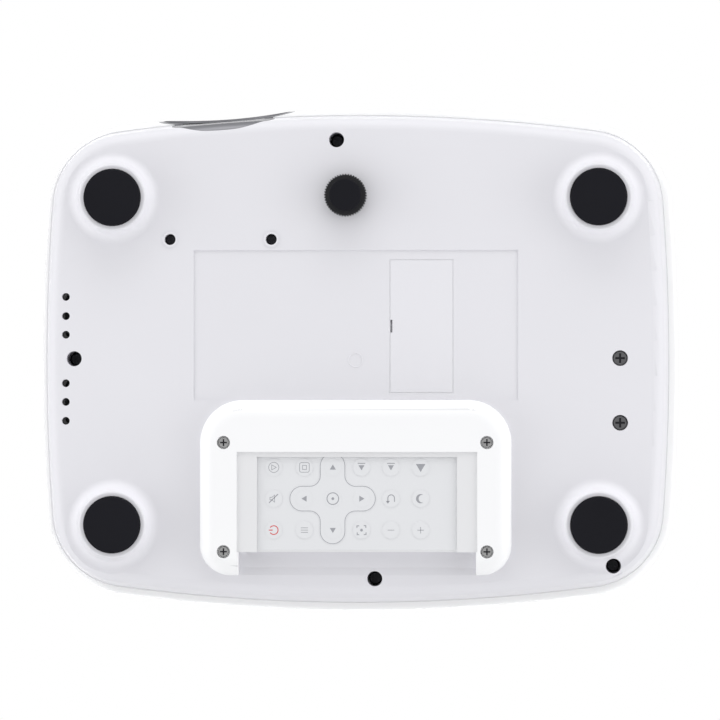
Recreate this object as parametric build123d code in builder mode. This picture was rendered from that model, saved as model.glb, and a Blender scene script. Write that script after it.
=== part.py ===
"""A table-top LED projector with a built-in disc player.

Millimetres.  +Z is up and z = 0 is the plane of the rubber feet, under the middle of the housing.
The lens looks along -Y, the disc tray slides out along +X and the sockets face +Y.
"""

import os
from math import asin, atan2, copysign, cos, hypot, pi, radians, sin, sqrt, tan

from build123d import *

os.makedirs("parts", exist_ok=True)

# ------------------------------------------------------------------ driving dimensions: housing
body_width = 256.0
body_depth = 202.0
half_width, half_depth = body_width / 2, body_depth / 2
side_bow_radius = 850.0
front_bow_radius = 718.0
corner_radius = 34.4
plate_z = 10.0
parting_z = 27.0
widest_z = 59.0
top_z = 97.0
wall = 2.6
barrel_radius = 140.0
reveal = 0.4
lower_draft = 8.0
shoulder_radius = 4.6
crown_radius = 11.0
tongue_height = 2.0
tongue_wall = 1.2
seam_gap = 0.2
core_inset = 24.0

# ------------------------------------------------------------------ driving dimensions: underside
foot_x = half_width - 32.1
foot_front_y = 37.7 - half_depth
foot_rear_y = half_depth - 35.2
foot_radius = 11.2
foot_height = 3.0
boss_face_z = 2.0
foot_gap = 0.2
tilt_foot_place = (-3.9, 36.8 - half_depth)
tilt_wheel_radius = 8.35
tilt_pad_radius = 6.4
tilt_travel = 12.0
case_screw_places = [
    (-7.6, 14.6 - half_depth),
    (16.4 - half_width, 0.2),
    (7.5, half_depth - 13.8),
    (half_width - 26.3, half_depth - 18.9),
]
case_screw_head_z = 22.0
bracket_screw_places = [(half_width - 23.6, 0.1), (half_width - 23.6, 25.6)]
sound_hole_x = 13.1 - half_width
sound_hole_ys = [-24.3, -16.7, -9.3, 9.9, 17.3, 24.8]
sound_hole_radius = 1.55
label_low, label_high = (-64.2, -42.7), (64.2, 16.6)
label_depth = 0.4
hatch_low, hatch_high = (half_width - 114.6, -39.0), (half_width - 89.4, 13.8)
hatch_gap = 0.3
hatch_thickness = 1.5

# ------------------------------------------------------------------ driving dimensions: remote cradle
remote_length = 86.0
remote_width = 40.0
remote_thickness = 5.7
remote_centre = (0.7, 56.5)
remote_face_z = 4.0
remote_gap = 0.6
cradle_low, cradle_high = (-61.5, 16.6), (61.5, 85.8)
cradle_face_z = 2.5
cradle_corner = 17.0
cradle_rear_corner = 12.0
cradle_shoulder = 6.6
window_margin = 3.6
mouth_margin = 3.9
cradle_screw_x = 51.9
cradle_screw_ys = (33.4, 76.4)

# ------------------------------------------------------------------ driving dimensions: optics
lens_x = 74.5 - half_width
lens_z = 46.0
light_y = (hatch_low[1] + hatch_high[1]) / 2
bowl_mouth_radius = 27.6
bowl_mouth_y = 2.0 - half_depth
bowl_throat_radius = 26.2
bowl_throat_y = bowl_mouth_y + 14.0
bowl_wall = 1.8
engine_bottom_z = 20.0
engine_height = 51.5
engine_width = 55.0
engine_wall = 2.2
fan_x = half_width - 44.0
leg_half_width = 30.0
engine_left_x = lens_x - leg_half_width
engine_right_x = fan_x - 32.0
engine_front_y = bowl_mouth_y + 37.0
engine_screw_pitch = 40.1
engine_screw_y = engine_front_y + 15.0
panel_x = (hatch_low[0] + hatch_high[0]) / 2
focus_travel = 6.0

# ------------------------------------------------------------------ driving dimensions: disc drive
drive_length = 126.0
drive_front_x = half_width - 10.0
drive_left_x = drive_front_x - drive_length
drive_width = 128.0
drive_bottom_z = 74.0
drive_height = 12.8
sheet = 0.8
rail_gap = 0.4
rail_thickness = 1.2
tray_rear_x = drive_left_x + 5.0
tray_front_x = drive_front_x + 1.4
tray_width = drive_width - 2 * (sheet + 2 * rail_gap + rail_thickness)
hub_x = tray_front_x - 61.1
disc_well_radius = 60.3
sled_angle = -45.0
sled_travel = 31.0
bezel_gap = 0.4
bezel_half_width = drive_width / 2 + 1.5
bezel_low_z, bezel_high_z = drive_bottom_z - bezel_gap, drive_bottom_z + drive_height + bezel_gap

# ------------------------------------------------------------------ driving dimensions: keypad and fan
keypad_y = 50.0
pad_radius = 18.4
pad_hole_radius = 8.6
ok_radius = 7.9
key_radius = 6.2
key_x = 34.0
key_dy = 8.0
key_proud = 0.8
key_gap = 0.4
key_board_z = 88.2
fan_size = 60.0
fan_depth = 15.0
board_thickness = 1.6
main_board_z = 60.0
power_board_z = 26.0
bay_half_width = 72.0
bay_low_z, bay_high_z = 57.0, 77.0
bay_floor_y = half_depth - 6.6
bay_panel = 2.0


def corner_arc(inset):
    """Half sizes of the outline moved in by inset, and where its corner arc starts, peaks and ends."""
    half_x, half_y = body_width / 2 - inset, body_depth / 2 - inset
    side, front, corner = side_bow_radius - inset, front_bow_radius - inset, corner_radius - inset
    side_x, front_y = half_x - side, half_y - front
    reach_side, reach_front = side - corner, front - corner
    span = hypot(side_x, front_y)
    along = (reach_side**2 - reach_front**2 + span**2) / (2 * span)
    across = sqrt(reach_side**2 - along**2)
    x = side_x - along * side_x / span - across * front_y / span
    y = along * front_y / span - across * side_x / span
    start = (side_x + (x - side_x) * side / reach_side, y * side / reach_side)
    end = (x * front / reach_front, front_y + (y - front_y) * front / reach_front)
    lean = hypot(start[0] + end[0] - 2 * x, start[1] + end[1] - 2 * y)
    middle = (
        x + (start[0] + end[0] - 2 * x) * corner / lean,
        y + (start[1] + end[1] - 2 * y) * corner / lean,
    )
    return half_x, half_y, start, middle, end


def mirrored(point, x_sign, y_sign):
    return (point[0] * x_sign, point[1] * y_sign)


def outline(inset):
    """The bowed rectangle of the housing in plan, drawn in the open BuildLine."""
    half_x, half_y, start, middle, end = corner_arc(inset)
    for x_sign, y_sign in ((1, 1), (-1, -1)):
        ThreePointArc(
            mirrored(start, x_sign, -y_sign), (x_sign * half_x, 0), mirrored(start, x_sign, y_sign)
        )
        ThreePointArc(
            mirrored(start, x_sign, y_sign), mirrored(middle, x_sign, y_sign), mirrored(end, x_sign, y_sign)
        )
        ThreePointArc(mirrored(end, x_sign, y_sign), (0, y_sign * half_y), mirrored(end, -x_sign, y_sign))
        ThreePointArc(
            mirrored(end, -x_sign, y_sign),
            mirrored(middle, -x_sign, y_sign),
            mirrored(start, -x_sign, y_sign),
        )


def side_inset(z, depth=0.0):
    """How far the barrel-shaped side, or a surface depth behind it, stands inside the widest outline."""
    radius = barrel_radius - depth
    return depth + radius - sqrt(radius**2 - (z - widest_z) ** 2)


def from_below(places, z):
    """Places at one height whose holes are bored upwards."""
    return [Location((x, y, z), (180, 0, 0)) for x, y in places]


def block(low, high, mode=Mode.ADD):
    """A box between two corners, in the open BuildPart."""
    with Locations(tuple((a + b) / 2 for a, b in zip(low, high))):
        Box(*(abs(b - a) for a, b in zip(low, high)), mode=mode)


def rod(x, y, low_z, high_z, radius, mode=Mode.ADD):
    """An upright cylinder, in the open BuildPart."""
    with Locations((x, y, low_z)):
        Cylinder(radius, high_z - low_z, align=(Align.CENTER, Align.CENTER, Align.MIN), mode=mode)


def round_corner(sketch, x, y, radius):
    """Rounds the corner of the open sketch that is nearest to a point given in the sketch's own axes."""
    fillet(sketch.vertices().sort_by_distance((x, y))[0], radius)


def turned(*points):
    """A ring turned about the lens axis from (radius, y) points, in the open BuildPart."""
    with BuildSketch(Plane.XY.offset(lens_z)) as ring:
        with BuildLine():
            Polyline(*((lens_x + radius, y) for radius, y in points), close=True)
        make_face()
    revolve(ring.sketch, axis=Axis((lens_x, 0, lens_z), (0, 1, 0)))


def ball_face(radius, tip, edge):
    """Three points of a spherical lens face, from its tip on the axis to its edge."""
    rise = edge - tip
    ball = (radius**2 + rise**2) / (2 * rise)
    middle = tip + ball - copysign(sqrt(ball**2 - radius**2 / 4), ball)
    return (0, tip), (radius / 2, middle), (radius, edge)


def lens(section, radius, front, rear):
    """A lens turned about the second axis of its section plane, in the open BuildPart."""
    with BuildSketch(section) as profile:
        with BuildLine():
            ThreePointArc(*ball_face(radius, *front))
            Line((radius, front[1]), (radius, rear[1]))
            ThreePointArc(*ball_face(radius, *rear))
            Line((0, rear[0]), (0, front[0]))
        make_face()
    revolve(profile.sketch, axis=Axis(section.origin, section.y_dir))


# the side's section is swept round this closed path, which starts in the middle of the right side
half_x, half_y, start, middle, end = corner_arc(0)
half_turn = atan2(start[1], start[0] - (half_x - side_bow_radius)) / 2
side_mid = (
    half_x - side_bow_radius + side_bow_radius * cos(half_turn),
    side_bow_radius * sin(half_turn),
)
with BuildLine() as housing_path:
    ThreePointArc((half_x, 0), side_mid, start)
    ThreePointArc(start, middle, end)
    ThreePointArc(end, (0, half_y), mirrored(end, -1, 1))
    ThreePointArc(mirrored(end, -1, 1), mirrored(middle, -1, 1), mirrored(start, -1, 1))
    ThreePointArc(mirrored(start, -1, 1), (-half_x, 0), mirrored(start, -1, -1))
    ThreePointArc(mirrored(start, -1, -1), mirrored(middle, -1, -1), mirrored(end, -1, -1))
    ThreePointArc(mirrored(end, -1, -1), (0, -half_y), mirrored(end, 1, -1))
    ThreePointArc(mirrored(end, 1, -1), mirrored(middle, 1, -1), mirrored(start, 1, -1))
    ThreePointArc(mirrored(start, 1, -1), mirrored(side_mid, 1, -1), (half_x, 0))

draft = tan(radians(lower_draft))
seam_x = half_x - side_inset(parting_z)
lower_x = seam_x - reveal
plate_x = lower_x - draft * (parting_z - plate_z)
floor_z = plate_z + wall
ceiling_z = top_z - wall


def barrel(low_z, high_z, depth=0.0):
    """The side's arc between two heights, in the open BuildLine."""
    ThreePointArc(
        (half_x - side_inset(low_z, depth), low_z),
        (half_x - side_inset((low_z + high_z) / 2, depth), (low_z + high_z) / 2),
        (half_x - side_inset(high_z, depth), high_z),
    )


def side_and_crown(low_z, depth=0.0):
    """The barrel side, the rounded crown and the flat top down to the core, in the open BuildLine."""
    big, small = barrel_radius - depth, crown_radius - depth
    crown_z = top_z - crown_radius
    reach = sqrt((big - small) ** 2 - (crown_z - widest_z) ** 2)
    crown_x = half_x - barrel_radius + reach
    high_z = widest_z + (crown_z - widest_z) * big / (big - small)
    lean = (pi / 2 + atan2(crown_z - widest_z, reach)) / 2
    side_end = (half_x - side_inset(high_z, depth), high_z)
    barrel(low_z, high_z, depth)
    ThreePointArc(
        side_end, (crown_x + small * cos(lean), crown_z + small * sin(lean)), (crown_x, crown_z + small)
    )
    Line((crown_x, crown_z + small), (half_x - core_inset, crown_z + small))


# the closed outer form, which trims whatever lies flush in the housing
with BuildPart() as envelope:
    with BuildSketch(Plane.XZ) as envelope_section:
        with BuildLine():
            side_and_crown(parting_z)
            Polyline(
                (half_x - core_inset, top_z),
                (half_x - core_inset, plate_z),
                (plate_x, plate_z),
                (lower_x, parting_z),
                (seam_x, parting_z),
            )
        make_face()
        round_corner(envelope_section, plate_x, plate_z, shoulder_radius)
    sweep(path=housing_path.wires()[0])
    with BuildSketch(Plane.XY.offset(plate_z)):
        with BuildLine():
            outline(core_inset - 1)
        make_face()
    extrude(amount=top_z - plate_z)

# the outer millimetres of the housing's side, from which the flush grilles and windows are cut
with BuildPart() as side_skin:
    with BuildSketch(Plane.XZ):
        with BuildLine():
            skin_low_z, skin_high_z = parting_z + 3.0, bezel_high_z
            barrel(skin_low_z, skin_high_z)
            barrel(skin_low_z, skin_high_z, wall)
            for z in (skin_low_z, skin_high_z):
                Line((half_x - side_inset(z), z), (half_x - side_inset(z, wall), z))
        make_face()
    sweep(path=housing_path.wires()[0])


# ------------------------------------------------------------------ screws
head_height = 2.0
head_radius = 2.6
shank_radius = 1.25
pilot_radius = 1.35
clear_radius = 1.7


def screw(head_z, length, radius=head_radius, height=head_height):
    """A cross-head screw seen from below: its head ends at head_z and its shank points up."""
    with BuildPart() as one:
        rod(0, 0, head_z - height, head_z, radius)
        rod(0, 0, head_z, head_z + length, shank_radius)
        chamfer(one.edges().group_by(Axis.Z)[0], height / 4)
        for turn in (0, 90):
            with Locations(Location((0, 0, head_z - height), (0, 0, turn))):
                Box(radius * 1.3, radius * 0.28, height, mode=Mode.SUBTRACT)
    return one.part


# ------------------------------------------------------------------ bottom case
post_radius = 4.4
post_top_z = 29.0
screw_hole_radius, bracket_hole_radius = 3.0, 3.1
screw_seat_z = case_screw_head_z + head_height
collar_radius, collar_height = 3.1, 0.3
engine_hole_radius = 2.2
engine_seat_z = engine_bottom_z - 4.0
bracket_seat_z = plate_z + 2.2
bracket_boss_top_z = bracket_seat_z + 2.4
bracket_head_height = 1.6
boss_radius, boss_root_radius, flare_radius, flare_curve = 13.2, 15.0, 19.4, 4.0
boss_edge_radius = 1.0
foot_seat_z = foot_height
hatch_ledge = 3.0
hatch_face_z = plate_z + label_depth
hatch_seat_z = hatch_face_z + hatch_thickness + hatch_gap
hatch_frame_top_z = hatch_seat_z + 1.8
hatch_frame, duct_wall = 2.0, 1.6
nut_radius, nut_height = 5.0, 9.0
nut_low_z = plate_z + 0.6
strip_depth = 0.6
cradle_boss_top_z = 19.0
board_post_radius = 3.0
fan_rib = 1.2
main_left_x, main_right_x = -30.0, half_width - 32.0
main_low_y, main_high_y = 30.0, bay_floor_y - 6.4
main_board_posts = [
    (main_left_x + 16, main_low_y + 6),
    (main_right_x - 8, main_low_y + 6),
    (main_left_x + 4, main_high_y - 4),
    (main_right_x - 10, main_high_y - 14),
]
power_left_x, power_length = 20.0 - half_width, 72.0
power_low_y, power_high_y = 30.0, 74.0
power_board_posts = [
    (power_left_x + 8, power_low_y + 6),
    (power_left_x + power_length - 6, power_low_y + 6),
    (power_left_x + 32, power_high_y - 4),
    (power_left_x + power_length - 6, power_high_y - 4),
]
foot_places = [(sign * foot_x, y) for sign in (-1, 1) for y in (foot_front_y, foot_rear_y)]
engine_screw_places = [(lens_x + sign * engine_screw_pitch / 2, engine_screw_y) for sign in (-1, 1)]
cradle_screw_places = [(sign * cradle_screw_x, y) for sign in (-1, 1) for y in cradle_screw_ys]
remote_low_x = remote_centre[0] - remote_length / 2
remote_high_x = remote_centre[0] + remote_length / 2
remote_low_y = remote_centre[1] - remote_width / 2
remote_high_y = remote_centre[1] + remote_width / 2
mouth_low_x = remote_low_x - mouth_margin
mouth_high_x = remote_high_x + mouth_margin
mouth_y = remote_high_y + 0.1
seam_in_x = lower_x - wall
tongue_out_x = seam_in_x + tongue_wall
rebate_x = tongue_out_x + seam_gap
rebate_top_z = parting_z + tongue_height + seam_gap
inner_plate_x = seam_in_x - draft * (parting_z - floor_z)

with BuildPart() as foot_boss:
    with BuildSketch(Plane.XZ) as boss_section:
        with BuildLine():
            Polyline(
                (0, boss_face_z),
                (boss_radius, boss_face_z),
                (boss_root_radius, plate_z),
                (flare_radius, plate_z),
                (flare_radius, floor_z - 0.4),
                (0, floor_z - 0.4),
                close=True,
            )
        make_face()
        round_corner(boss_section, boss_radius, boss_face_z, boss_edge_radius)
        round_corner(boss_section, boss_root_radius, plate_z, flare_curve)
    revolve(axis=Axis.Z)

with BuildPart() as bowl_seat:
    bowl_slope = (bowl_mouth_radius - bowl_throat_radius) / (bowl_throat_y - bowl_mouth_y)
    bowl_front_y = bowl_mouth_y - 4.0
    bowl_front_radius = bowl_mouth_radius + 4.0 * bowl_slope
    seat_gap = 0.15
    turned(
        (0, bowl_front_y),
        (bowl_front_radius + seat_gap, bowl_front_y),
        (bowl_throat_radius + seat_gap, bowl_throat_y),
        (bowl_throat_radius + seat_gap, bowl_throat_y + 4.0),
        (0, bowl_throat_y + 4.0),
    )

with BuildPart() as bottom_case:
    with BuildSketch(Plane.XZ) as lower_section:
        with BuildLine():
            Polyline(
                (half_x - core_inset, plate_z),
                (plate_x, plate_z),
                (lower_x - draft * reveal, parting_z - reveal),
                (lower_x - reveal, parting_z),
                (tongue_out_x, parting_z),
                (tongue_out_x, parting_z + tongue_height),
                (seam_in_x, parting_z + tongue_height),
                (seam_in_x, parting_z),
                (inner_plate_x, floor_z),
                (half_x - core_inset, floor_z),
                close=True,
            )
        make_face()
        round_corner(lower_section, plate_x, plate_z, shoulder_radius)
        round_corner(lower_section, inner_plate_x, floor_z, shoulder_radius - wall)
    sweep(path=housing_path.wires()[0])
    with BuildSketch(Plane.XY.offset(plate_z)):
        with BuildLine():
            outline(core_inset - 1)
        make_face()
    extrude(amount=wall)
    with Locations(*foot_places):
        add(foot_boss.part)
    for x, y in foot_places:
        rod(x, y, boss_face_z - 1, foot_seat_z, foot_radius + foot_gap, Mode.SUBTRACT)
        rod(x, y, foot_seat_z + 1.6, floor_z + 1, foot_radius, Mode.SUBTRACT)
    # tunnels for the case screws, and bosses for the screws of the engine, the bracket and the cradle
    for x, y in case_screw_places:
        rod(x, y, floor_z - 0.5, post_top_z, post_radius)
    for x, y in engine_screw_places:
        rod(x, y, floor_z - 0.5, engine_bottom_z, post_radius)
        rod(x, y, plate_z - collar_height, plate_z + 0.5, collar_radius)
    for x, y in bracket_screw_places:
        rod(x, y, floor_z - 0.5, bracket_boss_top_z, post_radius)
    for x, y in cradle_screw_places:
        rod(x, y, floor_z - 0.5, cradle_boss_top_z, 3.4)
    with Locations(*from_below(case_screw_places, plate_z)):
        CounterBoreHole(clear_radius, screw_hole_radius, screw_seat_z - plate_z, depth=post_top_z)
    with Locations(*from_below(engine_screw_places, plate_z)):
        CounterBoreHole(clear_radius, engine_hole_radius, engine_seat_z - plate_z, depth=engine_bottom_z)
    with Locations(*from_below(bracket_screw_places, plate_z)):
        CounterBoreHole(
            clear_radius, bracket_hole_radius, bracket_seat_z - plate_z, depth=bracket_boss_top_z
        )
    for x, y in cradle_screw_places:
        rod(x, y, plate_z - 1, cradle_boss_top_z - 1.5, pilot_radius, Mode.SUBTRACT)
    for y in sound_hole_ys:
        rod(sound_hole_x, y, plate_z - 1, floor_z + 1, sound_hole_radius, Mode.SUBTRACT)
    # nut housing of the tilt foot
    rod(*tilt_foot_place, floor_z - 0.5, nut_low_z + nut_height, nut_radius + 2.0)
    rod(*tilt_foot_place, nut_low_z, nut_low_z + nut_height + 1, nut_radius, Mode.SUBTRACT)
    rod(*tilt_foot_place, plate_z - 1, nut_low_z + 1, nut_radius - 1.2, Mode.SUBTRACT)
    # label recess, and in it the seat, the well and the light-tight duct of the cleaning hatch
    block((*label_low, plate_z - 1), (*label_high, hatch_face_z), Mode.SUBTRACT)
    duct_low = (hatch_low[0] + hatch_ledge, hatch_low[1] + hatch_ledge)
    duct_high = (hatch_high[0] - hatch_ledge, hatch_high[1] - hatch_ledge)
    block(
        (hatch_low[0] - hatch_frame, hatch_low[1] - hatch_frame, floor_z - 0.5),
        (hatch_high[0] + hatch_frame, hatch_high[1] + hatch_frame, hatch_frame_top_z),
    )
    block(
        (duct_low[0] - duct_wall, duct_low[1] - duct_wall, hatch_frame_top_z - 0.5),
        (duct_high[0] + duct_wall, duct_high[1] + duct_wall, engine_bottom_z),
    )
    block((*hatch_low, plate_z), (*hatch_high, hatch_seat_z), Mode.SUBTRACT)
    block((*duct_low, plate_z), (*duct_high, engine_bottom_z + 1), Mode.SUBTRACT)
    # floor of the remote's mouth, with a ramp back to the plate
    with BuildSketch(Plane.YZ.offset(mouth_low_x)):
        with BuildLine():
            Polyline(
                (mouth_y, plate_z - 1),
                (mouth_y, plate_z + strip_depth),
                (cradle_high[1] - 3, plate_z + strip_depth),
                (cradle_high[1], plate_z),
                (cradle_high[1], plate_z - 1),
                close=True,
            )
        make_face()
    extrude(amount=mouth_high_x - mouth_low_x, mode=Mode.SUBTRACT)
    # standoffs of the two boards, and ribs that hold the fan
    for places, high_z in ((main_board_posts, main_board_z), (power_board_posts, power_board_z)):
        for x, y in places:
            rod(x, y, floor_z - 0.5, high_z, board_post_radius)
            rod(x, y, high_z - 6, high_z + 1, 1.0, Mode.SUBTRACT)
    for x in (fan_x - fan_rib - 0.1, fan_x + fan_depth + 0.1):
        block((x, light_y - fan_size / 3, floor_z - 0.5), (x + fan_rib, light_y + fan_size / 3, floor_z + 6))
    add(bowl_seat.part, mode=Mode.SUBTRACT)
bottom_case.part.label = "bottom_case"
export_step(bottom_case.part, "parts/bottom_case.step")

# ------------------------------------------------------------------ top cover
# each vent's side, middle y, length and lower and upper edge, all above the widest line of the sides
vent_web = 1.6
exhaust = (1, light_y, 62.0, 56.0, bezel_low_z - bezel_gap - vent_web)
intake = (-1, 0.0, 62.0, 52.0, 84.0)
ir_place = (22.0, 66.0)
ir_radius = 4.5
column_radius = 4.0
bay_wall = 2.0
bay_seat = 2.0
key_board_posts = [(sign * 22.0, keypad_y + up) for sign in (-1, 1) for up in (-17.0, 17.0)]
round_key_places = [(sign * key_x, keypad_y + up) for sign in (-1, 1) for up in (key_dy, -key_dy)]
dish_depth = 0.8
key_hole_radius = key_radius + key_gap



def vent_box(vent, gap, mode):
    """A vent's opening, or the form of the insert that fits it with a gap, in the open BuildPart."""
    sign, y, length, low_edge_z, high_edge_z = vent
    with Locations((sign * half_width, y, (low_edge_z + high_edge_z) / 2)):
        Box(24, length - 2 * gap, high_edge_z - low_edge_z - 2 * gap, mode=mode)


with BuildPart() as port_bay:
    low_y = bay_floor_y - bay_panel - bay_seat
    block(
        (-bay_half_width - bay_wall, low_y, bay_low_z - bay_wall),
        (bay_half_width + bay_wall, body_depth / 2, bay_high_z + bay_wall),
    )
    add(envelope.part, mode=Mode.INTERSECT)

with BuildPart() as top_cover:
    with BuildSketch(Plane.XZ):
        with BuildLine():
            side_and_crown(parting_z)
            side_and_crown(rebate_top_z, wall)
            Line((half_x - core_inset, top_z), (half_x - core_inset, ceiling_z))
            Polyline(
                (half_x - side_inset(rebate_top_z, wall), rebate_top_z),
                (rebate_x, rebate_top_z),
                (rebate_x, parting_z),
                (seam_x, parting_z),
            )
        make_face()
    sweep(path=housing_path.wires()[0])
    with BuildSketch(Plane.XY.offset(ceiling_z)):
        with BuildLine():
            outline(core_inset - 1)
        make_face()
    extrude(amount=wall)
    # columns that take the case screws, and short posts for the key board
    for x, y in case_screw_places:
        rod(x, y, post_top_z, ceiling_z + 0.5, column_radius)
        rod(x, y, post_top_z - 1, post_top_z + 14, pilot_radius, Mode.SUBTRACT)
    for x, y in key_board_posts:
        rod(x, y, key_board_z + board_thickness, ceiling_z + 0.5, 2.4)
    # recessed bay of the sockets
    add(port_bay.part)
    block(
        (-bay_half_width, bay_floor_y - bay_panel, bay_low_z),
        (bay_half_width, body_depth, bay_high_z),
        Mode.SUBTRACT,
    )
    block(
        (-bay_half_width + bay_seat, low_y - 1, bay_low_z + bay_seat),
        (bay_half_width - bay_seat, body_depth, bay_high_z - bay_seat),
        Mode.SUBTRACT,
    )
    # openings for the grilles and the tray
    for vent in (exhaust, intake):
        vent_box(vent, 0, Mode.SUBTRACT)
    block(
        (drive_front_x + 0.5, -bezel_half_width - bezel_gap, bezel_low_z - bezel_gap),
        (body_width / 2 + 1, bezel_half_width + bezel_gap, bezel_high_z + bezel_gap),
        Mode.SUBTRACT,
    )
    # window of the remote's receiver
    with BuildSketch(Plane.XZ.offset(body_depth / 2 + 1)):
        with Locations(ir_place):
            Circle(ir_radius)
    extrude(amount=-8, mode=Mode.SUBTRACT)
    # dished round pad and the holes of the keys
    with BuildSketch(Plane.XY.offset(top_z)):
        with Locations((0, keypad_y)):
            Circle(pad_radius + 2.0)
    extrude(amount=-dish_depth, taper=40, mode=Mode.SUBTRACT)
    rod(0, keypad_y, ceiling_z - 1, top_z + 1, pad_radius + key_gap, Mode.SUBTRACT)
    for x, y in round_key_places:
        rod(x, y, ceiling_z - 1, top_z + 1, key_hole_radius, Mode.SUBTRACT)
    add(bowl_seat.part, mode=Mode.SUBTRACT)
top_cover.part.label = "top_cover"
export_step(top_cover.part, "parts/top_cover.step")

# ------------------------------------------------------------------ grilles, window and socket panel
slot_pitch, slot_width, slot_margin = 4.4, 2.4, 2.0
insert_gap = 0.05


def grille(vent):
    """Cuts the side skin down to the slotted insert of a vent, in the open BuildPart."""
    add(side_skin.part)
    vent_box(vent, insert_gap, Mode.INTERSECT)
    sign, y, length, low_edge_z, high_edge_z = vent
    count = int((length - 2 * slot_pitch) // slot_pitch)
    with Locations((sign * half_width, y, (low_edge_z + high_edge_z) / 2)):
        with GridLocations(1, slot_pitch, 1, count):
            Box(30, slot_width, high_edge_z - low_edge_z - 2 * slot_margin, mode=Mode.SUBTRACT)


with BuildPart() as exhaust_grille:
    grille(exhaust)
exhaust_grille.part.label = "exhaust_grille"
export_step(exhaust_grille.part, "parts/exhaust_grille.step")

with BuildPart() as intake_grille:
    grille(intake)
intake_grille.part.label = "intake_grille"
export_step(intake_grille.part, "parts/intake_grille.step")

with BuildPart() as ir_window:
    add(side_skin.part)
    with BuildSketch(Plane.XZ.offset(body_depth / 2 + 1)) as ir_disc:
        with Locations(ir_place):
            Circle(ir_radius - 0.1)
    extrude(ir_disc.sketch, amount=-8, mode=Mode.INTERSECT)
ir_window.part.label = "ir_window"
export_step(ir_window.part, "parts/ir_window.step")

# ------------------------------------------------------------------ lens and focus ring
tube_radius, cell_radius = 22.0, 19.55
tube_bore_radius = cell_radius + 0.05
tube_front_y = bowl_mouth_y + 11.0
cell_front_y = bowl_mouth_y + 3.0 + focus_travel
cell_rear_y = cell_front_y + 30.0
ring_radius = 23.6
ring_front_y, ring_rear_y = bowl_mouth_y + 5.0, bowl_mouth_y + 17.0
ring_bore_radius = tube_radius + 0.1
ring_teeth = 40
glass_radius, rear_glass_radius = 17.2, 15.2
glass_gap = 0.08
seat_lip = 1.2
seat_y = cell_front_y + 8.0

with BuildPart() as lens_bowl:
    with BuildSketch(Plane.XY.offset(lens_z)) as bowl_section:
        with BuildLine():
            outer = [
                (lens_x + bowl_front_radius, bowl_front_y),
                (lens_x + bowl_throat_radius, bowl_throat_y),
                (lens_x + bowl_throat_radius, bowl_throat_y + 3.0),
                (lens_x + bowl_throat_radius - bowl_wall, bowl_throat_y + 3.0),
                (lens_x + bowl_throat_radius - bowl_wall, bowl_throat_y - 1.0),
            ]
            mouth = (lens_x + bowl_front_radius - bowl_wall, bowl_front_y)
            Polyline(*outer)
            ThreePointArc(
                outer[-1],
                ((outer[-1][0] + mouth[0]) / 2 - 0.2, (outer[-1][1] + mouth[1]) / 2 - 0.2),
                mouth,
            )
            Line(mouth, outer[0])
        make_face()
    revolve(bowl_section.sketch, axis=Axis((lens_x, 0, lens_z), (0, 1, 0)))
    add(envelope.part, mode=Mode.INTERSECT)
lens_bowl.part.label = "lens_bowl"
export_step(lens_bowl.part, "parts/lens_bowl.step")

with BuildPart() as lens_tube:
    turned(
        (tube_bore_radius, tube_front_y),
        (tube_radius, tube_front_y),
        (tube_radius, engine_front_y - 2.0),
        (tube_radius + 5.0, engine_front_y - 2.0),
        (tube_radius + 5.0, engine_front_y),
        (tube_radius, engine_front_y),
        (tube_radius, engine_front_y + 8.0),
        (tube_bore_radius, engine_front_y + 8.0),
    )
lens_tube.part.label = "lens_tube"
export_step(lens_tube.part, "parts/lens_tube.step")

with BuildPart() as lens_cell:
    turned(
        (glass_radius + glass_gap, cell_front_y),
        (cell_radius, cell_front_y),
        (cell_radius, cell_rear_y),
        (rear_glass_radius + glass_gap, cell_rear_y),
        (rear_glass_radius + glass_gap, cell_rear_y - 6.0),
        (rear_glass_radius - seat_lip, cell_rear_y - 6.0),
        (rear_glass_radius - seat_lip, seat_y),
        (glass_radius + glass_gap, seat_y),
    )
lens_cell.part.label = "lens_cell"
export_step(lens_cell.part, "parts/lens_cell.step")

with BuildPart() as lens_glass:
    lens_section = Plane(origin=(lens_x, 0, lens_z), x_dir=(1, 0, 0), z_dir=(0, 0, 1))
    lens(lens_section, glass_radius, (seat_y - 7.2, seat_y - 4.0), (seat_y + 0.8, seat_y - 0.6))
    lens(
        lens_section,
        rear_glass_radius,
        (cell_rear_y - 6.6, cell_rear_y - 5.8),
        (cell_rear_y - 0.8, cell_rear_y - 3.4),
    )
lens_glass.part.label = "lens_glass"
export_step(lens_glass.part, "parts/lens_glass.step")


def toothed(radius, depth, teeth):
    """A knurled outline with rounded-off teeth, in the open BuildLine."""
    points = []
    for index in range(teeth):
        for share, reach in ((0.0, 0.0), (0.3, 0.0), (0.5, depth), (0.8, depth)):
            turn = 2 * pi * (index + share) / teeth
            points.append(((radius - reach) * cos(turn), (radius - reach) * sin(turn)))
    Polyline(*points, close=True)


def lens_facing(y):
    """A plane across the lens axis that faces forwards."""
    return Plane(origin=(lens_x, y, lens_z), x_dir=(1, 0, 0), z_dir=(0, -1, 0))


with BuildPart() as focus_ring:
    with BuildSketch(lens_facing(ring_front_y)) as grip:
        with BuildLine():
            toothed(ring_radius, 0.7, ring_teeth)
        make_face()
    extrude(grip.sketch, amount=ring_front_y - ring_rear_y)
    with BuildSketch(lens_facing(ring_front_y)) as mouth_hole:
        Circle(cell_radius + 0.6)
    extrude(mouth_hole.sketch, amount=ring_front_y - ring_rear_y, mode=Mode.SUBTRACT)
    with BuildSketch(lens_facing(ring_rear_y)) as tube_hole:
        Circle(ring_bore_radius)
    extrude(tube_hole.sketch, amount=ring_rear_y - ring_front_y - 2.0, mode=Mode.SUBTRACT)
focus_ring.part.label = "focus_ring"
export_step(focus_ring.part, "parts/focus_ring.step")

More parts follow.
